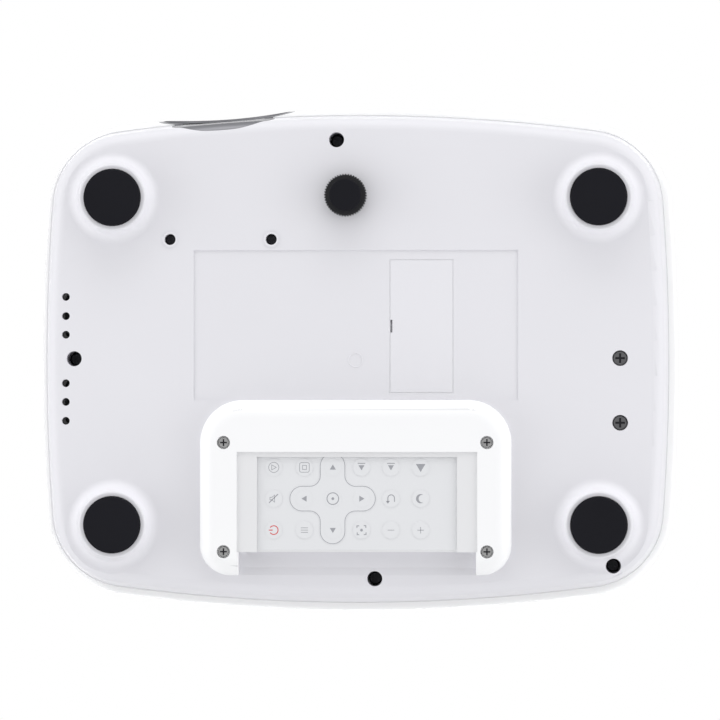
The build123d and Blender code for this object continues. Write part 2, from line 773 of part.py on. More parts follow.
# ------------------------------------------------------------------ optical engine
engine_top_z = engine_bottom_z + engine_height
lid_z = engine_top_z - 2.0
mirror_thickness = 2.0
engine_rear_y = light_y + engine_width / 2
engine_inner_y = light_y - engine_width / 2
corner_offset = (mirror_thickness + engine_wall) * sqrt(2)
plate_gap = 0.2
inner_low_z = engine_bottom_z + engine_wall
inner_half_width = engine_width / 2 - engine_wall


def engine_outline():
    """The L of the light path, with the corner behind the mirror cut off at 45 degrees."""
    Polyline(
        (engine_right_x, engine_rear_y),
        (lens_x + engine_width / 2 - corner_offset, engine_rear_y),
        (engine_left_x, light_y + (engine_left_x - lens_x) + corner_offset),
        (engine_left_x, engine_front_y),
        (lens_x + leg_half_width, engine_front_y),
        (lens_x + leg_half_width, engine_inner_y),
        (engine_right_x, engine_inner_y),
        close=True,
    )


with BuildPart() as engine_case:
    with BuildSketch(Plane.XY.offset(engine_bottom_z)):
        with BuildLine():
            engine_outline()
        make_face()
    extrude(amount=lid_z - engine_bottom_z)
    with BuildSketch(Plane.XY.offset(inner_low_z)):
        with BuildLine():
            engine_outline()
        make_face()
        offset(amount=-engine_wall, mode=Mode.REPLACE)
    extrude(amount=engine_height, mode=Mode.SUBTRACT)
    # holes for the lens tube, the lamp and the cleaning duct, and bores for the two case screws
    with BuildSketch(Plane.XZ.offset(-engine_front_y + 1)) as tube_opening:
        with Locations((lens_x, lens_z)):
            Circle(tube_radius + 0.1)
    extrude(tube_opening.sketch, amount=-engine_wall - 2, mode=Mode.SUBTRACT)
    with BuildSketch(Plane.YZ.offset(engine_right_x - engine_wall - 1)) as lamp_opening:
        with Locations((light_y, lens_z)):
            Circle(16.0)
    extrude(lamp_opening.sketch, amount=engine_wall + 2, mode=Mode.SUBTRACT)
    block((*duct_low, engine_bottom_z - 1), (*duct_high, inner_low_z + 1), Mode.SUBTRACT)
    for x, y in engine_screw_places:
        rod(x, y, inner_low_z - 0.5, inner_low_z + 6, 3.4)
        rod(x, y, engine_bottom_z - 1, inner_low_z + 4, pilot_radius, Mode.SUBTRACT)
    # ribs that hold the panel and the two fresnel plates upright
    rib, rib_reach = 1.2, 1.4
    plate_places = ((panel_x, 3.0), (panel_x - 9.0, 1.6), (panel_x + 9.0, 1.6))
    for x, thickness in plate_places:
        for side in (-1, 1):
            for face in (-1, 1):
                near = x + face * (thickness / 2 + 0.1)
                block(
                    (near, light_y + side * inner_half_width, inner_low_z - 0.5),
                    (near + face * rib, light_y + side * (inner_half_width - rib_reach), lid_z),
                )
engine_case.part.label = "engine_case"
export_step(engine_case.part, "parts/engine_case.step")

with BuildPart() as engine_lid:
    with BuildSketch(Plane.XY.offset(lid_z)):
        with BuildLine():
            engine_outline()
        make_face()
    extrude(amount=engine_top_z - lid_z)
    for x in (panel_x - 28.0, engine_right_x - 7.0):
        for y in (light_y - 20.0, light_y + 20.0):
            rod(x, y, engine_top_z - 0.5, drive_bottom_z, 3.0)
engine_lid.part.label = "engine_lid"
export_step(engine_lid.part, "parts/engine_lid.step")

mirror_length = 60.0
mirror_plane = Plane(origin=(lens_x, light_y, inner_low_z), x_dir=(1, 1, 0), z_dir=(0, 0, 1))
with BuildPart() as mirror:
    with BuildSketch(mirror_plane):
        with Locations((0, mirror_thickness / 2)):
            Rectangle(mirror_length, mirror_thickness)
    extrude(amount=lid_z - inner_low_z - plate_gap)
mirror.part.label = "mirror"
export_step(mirror.part, "parts/mirror.step")


def upright_plate(x, thickness):
    """A plate that stands across the light path, in the open BuildPart."""
    half = inner_half_width - plate_gap
    block(
        (x - thickness / 2, light_y - half, inner_low_z),
        (x + thickness / 2, light_y + half, lid_z - plate_gap),
    )


with BuildPart() as lcd_panel:
    upright_plate(*plate_places[0])
lcd_panel.part.label = "lcd_panel"
export_step(lcd_panel.part, "parts/lcd_panel.step")

with BuildPart() as fresnel_lenses:
    for place in plate_places[1:]:
        upright_plate(*place)
fresnel_lenses.part.label = "fresnel_lenses"
export_step(fresnel_lenses.part, "parts/fresnel_lenses.step")

condenser_x, condenser_radius = engine_right_x - 11.0, 23.5
with BuildPart() as condenser_lens:
    condenser_section = Plane(origin=(0, light_y, lens_z), x_dir=(0, 1, 0), z_dir=(0, 0, -1))
    lens(
        condenser_section,
        condenser_radius,
        (condenser_x - 2.5, condenser_x + 2.0),
        (condenser_x + 4.0, condenser_x + 3.4),
    )
condenser_lens.part.label = "condenser_lens"
export_step(condenser_lens.part, "parts/condenser_lens.step")

led_board, led_half = 2.0, 22.0
with BuildPart() as led_module:
    block(
        (engine_right_x, light_y - led_half, lens_z - led_half),
        (engine_right_x + led_board, light_y + led_half, lens_z + led_half),
    )
    with Locations(Location((engine_right_x, light_y, lens_z), (0, -90, 0))):
        Cylinder(9.0, 1.6, align=(Align.CENTER, Align.CENTER, Align.MIN))
led_module.part.label = "led_module"
export_step(led_module.part, "parts/led_module.step")

fin_count, fin_thickness, sink_base = 11, 1.4, 4.0
sink_half = 26.0
sink_x = engine_right_x + led_board
with BuildPart() as heat_sink:
    block((sink_x, light_y - sink_half, floor_z), (sink_x + sink_base, light_y + sink_half, engine_top_z))
    for index in range(fin_count):
        y = light_y - sink_half + index * (2 * sink_half - fin_thickness) / (fin_count - 1)
        block((sink_x + sink_base - 0.5, y, floor_z), (fan_x - 2.0, y + fin_thickness, engine_top_z))
heat_sink.part.label = "heat_sink"
export_step(heat_sink.part, "parts/heat_sink.step")

# ------------------------------------------------------------------ exhaust fan
fan_z = floor_z + fan_size / 2
fan_bore = fan_size / 2 - 1.5
rotor_hub, rotor_tip = 13.0, fan_bore - 0.8
pin_radius = 1.2
blade_count = 7
strut_depth = 2.5
fan_plane = Plane(origin=(fan_x, light_y, fan_z), x_dir=(0, 1, 0), z_dir=(1, 0, 0))

with BuildPart() as fan_frame:
    with BuildSketch(fan_plane):
        RectangleRounded(fan_size, fan_size, 3.0)
        Circle(fan_bore, mode=Mode.SUBTRACT)
        with GridLocations(fan_size - 10, fan_size - 10, 2, 2):
            Circle(2.1, mode=Mode.SUBTRACT)
    extrude(amount=fan_depth)
    with BuildSketch(fan_plane.offset(fan_depth - strut_depth)):
        Circle(rotor_hub)
        with PolarLocations(0, 4, start_angle=45):
            with Locations((fan_bore / 2 + 2, 0)):
                Rectangle(fan_bore, 3.0)
    extrude(amount=strut_depth)
    with BuildSketch(fan_plane.offset(3.0)):
        Circle(pin_radius)
    extrude(amount=fan_depth - strut_depth - 3.0 + 0.5)
fan_frame.part.label = "fan_frame"
export_step(fan_frame.part, "parts/fan_frame.step")

with BuildPart() as fan_rotor:
    with BuildSketch(fan_plane.offset(1.5)):
        Circle(rotor_hub)
    extrude(amount=fan_depth - strut_depth - 2.2)
    for index in range(blade_count):
        turn = 360 / blade_count * index
        with Locations(fan_plane.offset(fan_depth / 2 - 0.8).location * Location((0, 0, 0), (0, 0, turn))):
            with Locations(Location(((rotor_hub + rotor_tip) / 2 - 0.3, 0, 0), (38, 0, 0))):
                Box(rotor_tip - rotor_hub - 0.2, 14.0, 1.2)
    with BuildSketch(fan_plane):
        Circle(rotor_tip)
    extrude(amount=fan_depth - strut_depth - 0.5, mode=Mode.INTERSECT)
    with BuildSketch(fan_plane):
        Circle(pin_radius + 0.05)
    extrude(amount=fan_depth, mode=Mode.SUBTRACT)
fan_rotor.part.label = "fan_rotor"
export_step(fan_rotor.part, "parts/fan_rotor.step")

# ------------------------------------------------------------------ bracket and case of the disc drive
bracket_plate = 2.0
bracket_rib_z = 52.0
with BuildPart() as drive_bracket:
    for x, y in bracket_screw_places:
        rod(x, y, bracket_boss_top_z, drive_bottom_z - bracket_plate, 3.9)
        rod(x, y, bracket_boss_top_z - 1, bracket_boss_top_z + 12, pilot_radius, Mode.SUBTRACT)
    rib_x = bracket_screw_places[0][0]
    rib_low_y, rib_high_y = bracket_screw_places[0][1], bracket_screw_places[1][1]
    block(
        (rib_x - 1, rib_low_y + 2, bracket_rib_z), (rib_x + 1, rib_high_y - 2, drive_bottom_z - bracket_plate)
    )
    with BuildSketch(Plane.XY.offset(drive_bottom_z - bracket_plate)):
        with Locations((rib_x + 4, (rib_low_y + rib_high_y) / 2)):
            RectangleRounded(18.0, 76.0, 3.0)
    extrude(amount=bracket_plate)
drive_bracket.part.label = "drive_bracket"
export_step(drive_bracket.part, "parts/drive_bracket.step")

drive_top_z = drive_bottom_z + drive_height
drive_half = drive_width / 2
tray_half = tray_width / 2
rail_low_z, rail_high_z = drive_bottom_z + 3.4, drive_bottom_z + 8.0
guide_in_y = tray_half + rail_gap

with BuildPart() as drive_chassis:
    block((drive_left_x, -drive_half, drive_bottom_z), (drive_front_x, drive_half, drive_top_z - sheet))
    block(
        (drive_left_x + sheet, -drive_half + sheet, drive_bottom_z + sheet),
        (drive_front_x + 1, drive_half - sheet, drive_top_z),
        Mode.SUBTRACT,
    )
    for side in (-1, 1):
        for low_z, high_z in (
            (drive_bottom_z + sheet - 0.1, rail_low_z - rail_gap),
            (rail_high_z + rail_gap, rail_high_z + rail_gap + 1.4),
        ):
            block(
                (drive_left_x + 12, side * guide_in_y, low_z),
                (drive_front_x - 2, side * (drive_half - sheet + 0.1), high_z),
            )
drive_chassis.part.label = "drive_chassis"
export_step(drive_chassis.part, "parts/drive_chassis.step")

with BuildPart() as drive_cover:
    with BuildSketch(Plane.XY.offset(drive_top_z - sheet)):
        with Locations(((drive_left_x + drive_front_x) / 2, 0)):
            Rectangle(drive_length, drive_width)
            for x, y in ((-47.0, -1), (-47.0, 1), (53.0, -1), (53.0, 1)):
                with Locations((x, y * (drive_half - 8.0))):
                    Circle(1.6, mode=Mode.SUBTRACT)
    extrude(amount=sheet)
drive_cover.part.label = "drive_cover"
export_step(drive_cover.part, "parts/drive_cover.step")

with BuildPart() as tray_rails:
    for side in (-1, 1):
        block(
            (tray_rear_x, side * guide_in_y, rail_low_z),
            (tray_front_x - 10, side * (drive_half - sheet - rail_gap), rail_high_z),
        )
tray_rails.part.label = "tray_rails"
export_step(tray_rails.part, "parts/tray_rails.step")

# ------------------------------------------------------------------ tray and the mechanism hung under it
tray_top_z = drive_bottom_z + 7.4
tray_low_z = drive_bottom_z + 1.6
well_z = tray_top_z - 1.4
well_floor = 0.8
tray_wall = 1.4
turntable_radius = 14.0
deck_z = drive_bottom_z + 2.4
deck_thickness = 0.8
rod_z = drive_bottom_z + 3.55
rod_radius = 0.9
rod_q = 14.0
lug = 1.6
sled_start = 24.0
sled_half = 7.0
rod_start, rod_end = 13.5, sled_start + sled_travel + sled_half + lug + 1.0
lens_slot_half = 9.0
screw_q = -17.8
screw_radius = 1.1
pin_fit = 0.05
screw_pin_radius = 0.6
screw_pin_length = 1.8
screw_start, screw_end = rod_start + lug + 0.3, 57.0
motor_length, motor_half_width = 10.0, 2.5
motor_high_z = well_z - well_floor - 0.3
shaft_radius = 1.0
hub_top_z = tray_top_z + 1.6
sled_x_dir = (cos(radians(sled_angle)), sin(radians(sled_angle)), 0)


def sled_plane(z):
    """A horizontal plane centred on the hub, with its first axis along the sled's way."""
    return Plane(origin=(hub_x, 0, z), x_dir=sled_x_dir, z_dir=(0, 0, 1))


sled_section = Plane(origin=(hub_x, 0, 0), x_dir=(-sled_x_dir[1], sled_x_dir[0], 0), z_dir=sled_x_dir)

with BuildPart() as tray:
    with BuildSketch(Plane.XY.offset(tray_low_z)):
        with Locations(((tray_rear_x + tray_front_x) / 2, 0)):
            Rectangle(tray_front_x - tray_rear_x, tray_width)
    extrude(amount=tray_top_z - tray_low_z)
    fillet(tray.edges().filter_by(Axis.Z).group_by(Axis.X)[0], 4.0)
    # hollow underside, round well, and the cut-out for the hub and the lens
    block(
        (tray_rear_x + tray_wall, -tray_half + tray_wall, tray_low_z - 1),
        (tray_front_x - 3.0, tray_half - tray_wall, well_z - well_floor),
        Mode.SUBTRACT,
    )
    rod(hub_x, 0, well_z, tray_top_z + 1, disc_well_radius, Mode.SUBTRACT)
    rod(hub_x, 0, well_z - well_floor - 1, well_z + 1, turntable_radius + 1.5, Mode.SUBTRACT)
    with BuildSketch(sled_plane(well_z - well_floor - 1)):
        with Locations(((sled_start + rod_end) / 2 - 6, 0)):
            RectangleRounded(rod_end - sled_start + 10, 2 * lens_slot_half + 1.2, 4.0)
    extrude(amount=well_floor + 2, mode=Mode.SUBTRACT)
    # finger dips in the rim, beside the front
    for side in (-1, 1):
        rod(tray_front_x - 14, side * (tray_half - 8), well_z, tray_top_z + 1, 6.0, Mode.SUBTRACT)
tray.part.label = "tray"
export_step(tray.part, "parts/tray.step")

button_y, button_z = 44.0, 80.4
button_width, button_height = 12.0, 3.6
button_travel = 0.9
button_gap = 0.35
button_flange, button_flange_width = 0.8, 16.8
lamp_y, pinhole_y = 30.0, 20.0

with BuildPart() as tray_bezel:
    block((tray_front_x, -bezel_half_width, bezel_low_z), (half_width + 1, bezel_half_width, bezel_high_z))
    add(envelope.part, mode=Mode.INTERSECT)
    fillet(tray_bezel.edges().filter_by(Axis.X), 1.2)
    # button hole, indicator window and emergency pinhole
    button_plane = Plane.YZ.offset(tray_front_x - 1)
    with BuildSketch(button_plane):
        with Locations((button_y, button_z)):
            SlotOverall(button_width + 2 * button_gap, button_height + 2 * button_gap)
        with Locations((lamp_y, button_z), (pinhole_y, button_z)):
            Circle(0.8)
    extrude(amount=20, mode=Mode.SUBTRACT)
    pocket_half = button_flange_width / 2 + 0.6
    block(
        (tray_front_x - 1, button_y - pocket_half, button_z - 3.4),
        (tray_front_x + button_travel + button_flange + 0.7, button_y + pocket_half, button_z + 3.4),
        Mode.SUBTRACT,
    )
tray_bezel.part.label = "tray_bezel"
export_step(tray_bezel.part, "parts/tray_bezel.step")

with BuildPart() as eject_button:
    flange_x = tray_front_x + button_travel + 0.4
    with BuildSketch(Plane.YZ.offset(flange_x + 0.3)):
        with Locations((button_y, button_z)):
            SlotOverall(button_width, button_height)
    extrude(amount=20)
    add(envelope.part, mode=Mode.INTERSECT)
    block(
        (flange_x, button_y - button_flange_width / 2, button_z - 2.8),
        (flange_x + button_flange, button_y + button_flange_width / 2, button_z + 2.8),
    )
eject_button.part.label = "eject_button"
export_step(eject_button.part, "parts/eject_button.step")

with BuildPart() as traverse_deck:
    with BuildSketch(sled_plane(deck_z)) as deck:
        with Locations((26.0, -1.0)):
            Rectangle(82.0, 40.0)
        with Locations(((rod_start + rod_end) / 2, -1.0)):
            Rectangle(rod_end - rod_start - 2 * lug, 37.0, mode=Mode.SUBTRACT)
    extrude(deck.sketch, amount=deck_thickness)
    block(
        (tray_rear_x + 3, -tray_half + tray_wall + 0.4, tray_low_z),
        (tray_front_x - 3.6, tray_half - tray_wall - 0.4, tray_top_z),
        Mode.INTERSECT,
    )
    # lugs that hold the rods, and the bearing and the motor of the lead screw
    for p in (rod_start, rod_end - lug):
        for q in (-rod_q, rod_q):
            with BuildSketch(sled_plane(deck_z)) as lug_block:
                with Locations((p + lug / 2, q)):
                    Rectangle(lug, 3.6)
            extrude(lug_block.sketch, amount=2.4)
    with BuildSketch(sled_plane(deck_z)) as screw_ends:
        with Locations((screw_start - 0.4 - motor_length / 2, screw_q)):
            Rectangle(motor_length, 2 * motor_half_width)
        with Locations((screw_end + 0.4 + lug / 2, screw_q + 1.05)):
            Rectangle(lug, 3.55, align=(Align.CENTER, Align.MAX))
    extrude(screw_ends.sketch, amount=motor_high_z - deck_z)
    # hub motor, and posts that hang the deck from the tray
    rod(hub_x, 0, tray_low_z, tray_low_z + 2.4, 12.0)
    rod(hub_x, 0, tray_low_z, hub_top_z - 1.0, shaft_radius)
    for p, q in ((-9.0, 15.0), (-9.0, -17.0), (65.5, 9.0), (65.5, -9.0)):
        with BuildSketch(sled_plane(deck_z)) as hanger:
            with Locations((p, q)):
                Circle(1.8)
        extrude(hanger.sketch, amount=well_z - well_floor - deck_z)
    with BuildSketch(sled_section) as bores:
        with Locations((-rod_q, rod_z), (rod_q, rod_z)):
            Circle(rod_radius)
    extrude(bores.sketch, amount=rod_end + 1, mode=Mode.SUBTRACT)
    bore_start = screw_start - screw_pin_length - 0.3
    with BuildSketch(sled_section.offset(bore_start)) as screw_bore:
        with Locations((screw_q, rod_z)):
            Circle(screw_pin_radius + pin_fit)
    extrude(screw_bore.sketch, amount=screw_end + 0.5 + lug - bore_start, mode=Mode.SUBTRACT)
    with BuildSketch(sled_section.offset(rod_start)) as rods:
        with Locations((-rod_q, rod_z), (rod_q, rod_z)):
            Circle(rod_radius)
    extrude(rods.sketch, amount=rod_end - rod_start)
traverse_deck.part.label = "traverse_deck"
export_step(traverse_deck.part, "parts/traverse_deck.step")

with BuildPart() as lead_screw:
    with BuildSketch(sled_section.offset(screw_start)) as thread:
        with Locations((screw_q, rod_z)):
            Circle(screw_radius)
    extrude(thread.sketch, amount=screw_end - screw_start)
    with BuildSketch(sled_section.offset(screw_start - screw_pin_length)) as pins:
        with Locations((screw_q, rod_z)):
            Circle(screw_pin_radius)
    extrude(pins.sketch, amount=screw_end - screw_start + 2 * screw_pin_length)
lead_screw.part.label = "lead_screw"
export_step(lead_screw.part, "parts/lead_screw.step")

sled_low_z, sled_high_z = deck_z - 0.2, well_z - well_floor - 0.3
with BuildPart() as pickup:
    with BuildSketch(sled_plane(sled_low_z)) as sled:
        with Locations((sled_start, -0.1)):
            RectangleRounded(2 * sled_half, 32.5, 1.0)
        for sign in (-1, 1):
            with Locations((sled_start + sign * sled_half, 0)):
                Circle(4.0, mode=Mode.SUBTRACT)
    extrude(sled.sketch, amount=sled_high_z - sled_low_z)
    with BuildSketch(sled_plane(sled_high_z - 0.2)) as lens_block:
        with Locations((sled_start, 0)):
            RectangleRounded(10.0, 2 * lens_slot_half, 2.0)
    extrude(lens_block.sketch, amount=well_z - sled_high_z)
    with BuildSketch(sled_plane(well_z - 0.4)) as lens_seat:
        with Locations((sled_start, 0)):
            Circle(2.6)
    extrude(lens_seat.sketch, amount=0.4)
    with BuildSketch(sled_section.offset(sled_start - sled_half - 1)) as slides:
        with Locations((-rod_q, rod_z), (rod_q, rod_z)):
            Circle(rod_radius + pin_fit)
    extrude(slides.sketch, amount=2 * sled_half + 2, mode=Mode.SUBTRACT)
pickup.part.label = "pickup"
export_step(pickup.part, "parts/pickup.step")

disc_hole_radius = 7.5
with BuildPart() as spindle_hub:
    rod(hub_x, 0, well_z - 0.6, well_z + 0.6, turntable_radius)
    rod(hub_x, 0, well_z + 0.5, hub_top_z, disc_hole_radius - 0.15)
    chamfer(spindle_hub.edges().group_by(Axis.Z)[-1], 1.2)
    rod(hub_x, 0, well_z - 1, hub_top_z - 0.9, shaft_radius + pin_fit, Mode.SUBTRACT)
    for turn in (0, 120, 240):
        with Locations(Location((hub_x, 0, well_z + 1.4), (0, 0, turn))):
            with Locations((disc_hole_radius - 0.6, 0)):
                Box(2.0, 2.4, 1.4)
spindle_hub.part.label = "spindle_hub"
export_step(spindle_hub.part, "parts/spindle_hub.step")

# ------------------------------------------------------------------ boards and sockets
main_board_top_z = main_board_z + board_thickness
power_board_top_z = power_board_z + board_thickness
socket_rear_y = bay_floor_y + 0.4
hdmi_x, usb_x = 32.0, 56.0
jack_xs = (-22.0, -8.0)
jack_bore_radius, jack_radius = 1.8, 3.5
jack_depth = 14.0
jack_z = main_board_top_z + jack_radius
inlet_x, inlet_z = power_left_x + 54.0, 67.0
inlet_pin_pitch = 8.6
inlet_half_width, inlet_half_height, inlet_depth = 10.0, 6.5, 16.4
inlet_slot_width, inlet_slot_height = 15.6, 8.0
hdmi_size, usb_size = (15.2, 5.6), (14.4, 7.2)
socket_depth = 14.8
socket_cut_gap = 0.2

board_hole_radius = 1.1
processor, processor_half = (30.0, 56.0), 12.0
processor_fins, fin_height = 7, 7.0
# middle, width, depth and height of the chips, the coil and the ribbon socket on the main board
main_board_parts = [
    (-4.0, 48.0, 14.0, 20.0, 1.2),
    (8.0, 66.0, 14.0, 10.0, 1.2),
    (60.0, 50.0, 11.0, 18.0, 1.2),
    (73.0, 70.0, 12.0, 12.0, 1.2),
    (77.0, 56.0, 8.0, 10.0, 4.0),
    (8.0, 36.0, 20.0, 5.0, 4.0),
]
main_capacitors = [(80.0, 45.0), (68.0, 36.0), (46.0, 36.0), (-14.0, 62.0), (-22.0, 48.0)]

with BuildPart() as main_board:
    block((main_left_x, main_low_y, main_board_z), (main_right_x, main_high_y, main_board_top_z))
    rod(*case_screw_places[2], main_board_z - 1, main_board_top_z + 1, column_radius + 0.8, Mode.SUBTRACT)
    for x, y in main_board_posts:
        rod(x, y, main_board_z - 1, main_board_top_z + 1, board_hole_radius, Mode.SUBTRACT)
    top = main_board_top_z - 0.1
    for x, y, width, depth, height in main_board_parts:
        block((x - width / 2, y - depth / 2, top), (x + width / 2, y + depth / 2, top + height))
    for x, y in main_capacitors:
        rod(x, y, top, top + 8.0, 3.0)
    # processor and its finned heat sink
    x, y = processor
    low_x, low_y, high_y = x - processor_half, y - processor_half, y + processor_half
    block((low_x, low_y, top), (x + processor_half, high_y, top + 3.0))
    for index in range(processor_fins):
        fin_x = low_x + index * (2 * processor_half - fin_thickness) / (processor_fins - 1)
        block((fin_x, low_y, top + 2.9), (fin_x + fin_thickness, high_y, top + 3.0 + fin_height))
main_board.part.label = "main_board"
export_step(main_board.part, "parts/main_board.step")

core_low, core_high, core_arm, core_height = (22.0, 10.0), (50.0, 32.0), 5.0, 22.0
winding_low, winding_high, winding_height = (27.0, 7.0), (45.0, 35.0), 16.9
mains_capacitor, output_capacitors = (11.0, 32.0), [(60.0, 16.0), (60.0, 25.0), (60.0, 34.0)]

with BuildPart() as power_board:
    lower_corner = (Align.MIN, Align.MIN, Align.MIN)
    with Locations((power_left_x, power_low_y, power_board_top_z)):
        with Locations((0, 0, -board_thickness)):
            Box(power_length, power_high_y - power_low_y, board_thickness, align=lower_corner)
        # transformer: two yokes and two legs of ferrite, with the winding between them
        for low, high, low_up, high_up in (
            (core_low, core_high, -0.1, core_arm),
            (core_low, core_high, core_height - core_arm, core_height),
            (core_low, (core_low[0] + core_arm, core_high[1]), 0.0, core_height),
            ((core_high[0] - core_arm, core_low[1]), core_high, 0.0, core_height),
            (winding_low, winding_high, core_arm - 4.0, core_arm - 4.0 + winding_height),
        ):
            with Locations((low[0], low[1], low_up)):
                Box(high[0] - low[0], high[1] - low[1], high_up - low_up, align=lower_corner)
        # mains capacitor, output capacitors, and the switching transistor on its heat sink
        with Locations((*mains_capacitor, -0.1)):
            Cylinder(9.0, 24.0, align=(Align.CENTER, Align.CENTER, Align.MIN))
        with Locations(*((x, y, -0.1) for x, y in output_capacitors)):
            Cylinder(4.0, 16.0, align=(Align.CENTER, Align.CENTER, Align.MIN))
        with Locations((2.0, 6.0, -0.1)):
            Box(2.0, 15.0, 20.0, align=lower_corner)
        with Locations((3.5, 8.0, 3.0)):
            Box(4.5, 11.0, 15.0, align=lower_corner)
    for x, y in power_board_posts:
        rod(x, y, power_board_z - 1, power_board_top_z + 1, board_hole_radius, Mode.SUBTRACT)
power_board.part.label = "power_board"
export_step(power_board.part, "parts/power_board.step")

with BuildPart() as power_inlet:
    inlet_front_y = bay_floor_y - bay_panel
    block(
        (inlet_x - inlet_half_width, inlet_front_y - inlet_depth, inlet_z - inlet_half_height),
        (inlet_x + inlet_half_width, inlet_front_y, inlet_z + inlet_half_height),
    )
    with BuildSketch(Plane.XZ.offset(-bay_floor_y)) as inlet_slot:
        with Locations((inlet_x, inlet_z)):
            SlotOverall(inlet_slot_width, inlet_slot_height)
    extrude(inlet_slot.sketch, amount=14.0, mode=Mode.SUBTRACT)
    with BuildSketch(Plane.XZ.offset(-bay_floor_y + 1.0)) as inlet_pins:
        with Locations((inlet_x - inlet_pin_pitch / 2, inlet_z), (inlet_x + inlet_pin_pitch / 2, inlet_z)):
            Circle(1.2)
    extrude(inlet_pins.sketch, amount=16.0)
power_inlet.part.label = "power_inlet"
export_step(power_inlet.part, "parts/power_inlet.step")

with BuildPart() as signal_sockets:
    socket_back_y = socket_rear_y - socket_depth
    for x, (width, height), shell, tongue, tongue_height in (
        (hdmi_x, hdmi_size, 0.5, 10.4, 1.0),
        (usb_x, usb_size, 0.6, 11.6, 1.9),
    ):
        block(
            (x - width / 2, socket_back_y, main_board_top_z),
            (x + width / 2, socket_rear_y, main_board_top_z + height),
        )
        block(
            (x - width / 2 + shell, socket_back_y + 3.0, main_board_top_z + shell),
            (x + width / 2 - shell, socket_rear_y + 1, main_board_top_z + height - shell),
            Mode.SUBTRACT,
        )
        tongue_z = main_board_top_z + height / 2
        block(
            (x - tongue / 2, socket_back_y + 2.5, tongue_z - tongue_height / 2),
            (x + tongue / 2, socket_rear_y - 1.8, tongue_z + tongue_height / 2),
        )
signal_sockets.part.label = "signal_sockets"
export_step(signal_sockets.part, "parts/signal_sockets.step")

with BuildPart() as av_jacks:
    for x in jack_xs:
        block(
            (x - 4.0, socket_rear_y - socket_depth - 1.0, main_board_top_z),
            (x + 4.0, bay_floor_y - bay_panel - 0.4, jack_z + 3.9),
        )
    with BuildSketch(Plane.XZ.offset(-bay_floor_y + 4.0)) as barrels:
        with Locations(*((x, jack_z) for x in jack_xs)):
            Circle(jack_radius)
    extrude(barrels.sketch, amount=-4.0 - socket_rear_y + bay_floor_y)
    with BuildSketch(Plane.XZ.offset(-socket_rear_y)) as jack_bores:
        with Locations(*((x, jack_z) for x in jack_xs)):
            Circle(jack_bore_radius)
    extrude(jack_bores.sketch, amount=jack_depth, mode=Mode.SUBTRACT)
av_jacks.part.label = "av_jacks"
export_step(av_jacks.part, "parts/av_jacks.step")

with BuildPart() as port_panel:
    block(
        (-bay_half_width + 0.1, bay_floor_y - bay_panel, bay_low_z + 0.1),
        (bay_half_width - 0.1, bay_floor_y, bay_high_z - 0.1),
    )
    with BuildSketch(Plane.XZ.offset(-bay_floor_y - 1)) as cut_outs:
        with Locations((inlet_x, inlet_z)):
            SlotOverall(inlet_slot_width, inlet_slot_height)
        for x, (width, height) in ((hdmi_x, hdmi_size), (usb_x, usb_size)):
            with Locations((x, main_board_top_z + height / 2)):
                Rectangle(width + 2 * socket_cut_gap, height + 2 * socket_cut_gap)
        with Locations(*((x, jack_z) for x in jack_xs)):
            Circle(jack_radius + socket_cut_gap)
    extrude(cut_outs.sketch, amount=bay_panel + 2, mode=Mode.SUBTRACT)
port_panel.part.label = "port_panel"
export_step(port_panel.part, "parts/port_panel.step")

# ------------------------------------------------------------------ keypad
key_board_top_z = key_board_z + board_thickness
switch_height = 0.6
key_travel = 0.5
key_board_half = (44.0, 22.0)
switch_half, switch_cap_radius = 2.6, 1.7
stem_z = key_board_top_z + switch_height + key_travel + 0.3
flange_low_z, flange_high_z = ceiling_z - 1.6, ceiling_z - 0.4
key_top_z = top_z + key_proud
pad_gap = 1.2
pad_key_radius = (pad_radius + pad_hole_radius) / 2
flange_reach = 1.2
stem_radius = 1.6
# up, down, left and right as seen by someone who stands behind the projector
pad_turns = (-90, 90, 0, 180)
pad_key_places = [
    (pad_key_radius * cos(radians(turn)), keypad_y + pad_key_radius * sin(radians(turn)))
    for turn in pad_turns
]

with BuildPart() as keypad_board:
    half_length, half_span = key_board_half
    block(
        (-half_length, keypad_y - half_span, key_board_z),
        (half_length, keypad_y + half_span, key_board_top_z),
    )
    for x, y in (*pad_key_places, *round_key_places, (0, keypad_y)):
        block(
            (x - switch_half, y - switch_half, key_board_top_z - 0.1),
            (x + switch_half, y + switch_half, key_board_top_z + switch_height / 2),
        )
        rod(x, y, key_board_top_z, key_board_top_z + switch_height, switch_cap_radius)
keypad_board.part.label = "keypad_board"
export_step(keypad_board.part, "parts/keypad_board.step")


def quarter(inner, outer, turn):
    """A quarter of the ring pad that faces turn degrees, drawn in the open BuildLine."""
    arcs = []
    for radius in (inner, outer):
        half = 45 - asin(pad_gap / 2 / radius) * 180 / pi
        angles = [radians(turn + sign * half) for sign in (-1, 0, 1)]
        arcs.append([(radius * cos(angle), keypad_y + radius * sin(angle)) for angle in angles])
        ThreePointArc(*arcs[-1])
    for place in (0, 2):
        Line(arcs[0][place], arcs[1][place])


def pad_key(turn, x, y):
    """One key of the ring pad with its retaining flange and its stem, in the open BuildPart."""
    for outer, low_z, high_z in (
        (pad_radius, flange_low_z, key_top_z),
        (pad_radius + flange_reach, flange_low_z, flange_high_z),
    ):
        with BuildSketch(Plane.XY.offset(low_z)) as outline_of_key:
            with BuildLine():
                quarter(pad_hole_radius, outer, turn)
            make_face()
        extrude(outline_of_key.sketch, amount=high_z - low_z)
    rod(x, y, stem_z, flange_low_z + 0.1, stem_radius)


def round_key(x, y, radius, flange):
    """A round key with its retaining flange and its stem, in the open BuildPart."""
    rod(x, y, flange_low_z, key_top_z, radius)
    rod(x, y, flange_low_z, flange_high_z, radius + flange)
    rod(x, y, stem_z, flange_low_z + 0.1, stem_radius)


key_edge = 0.6

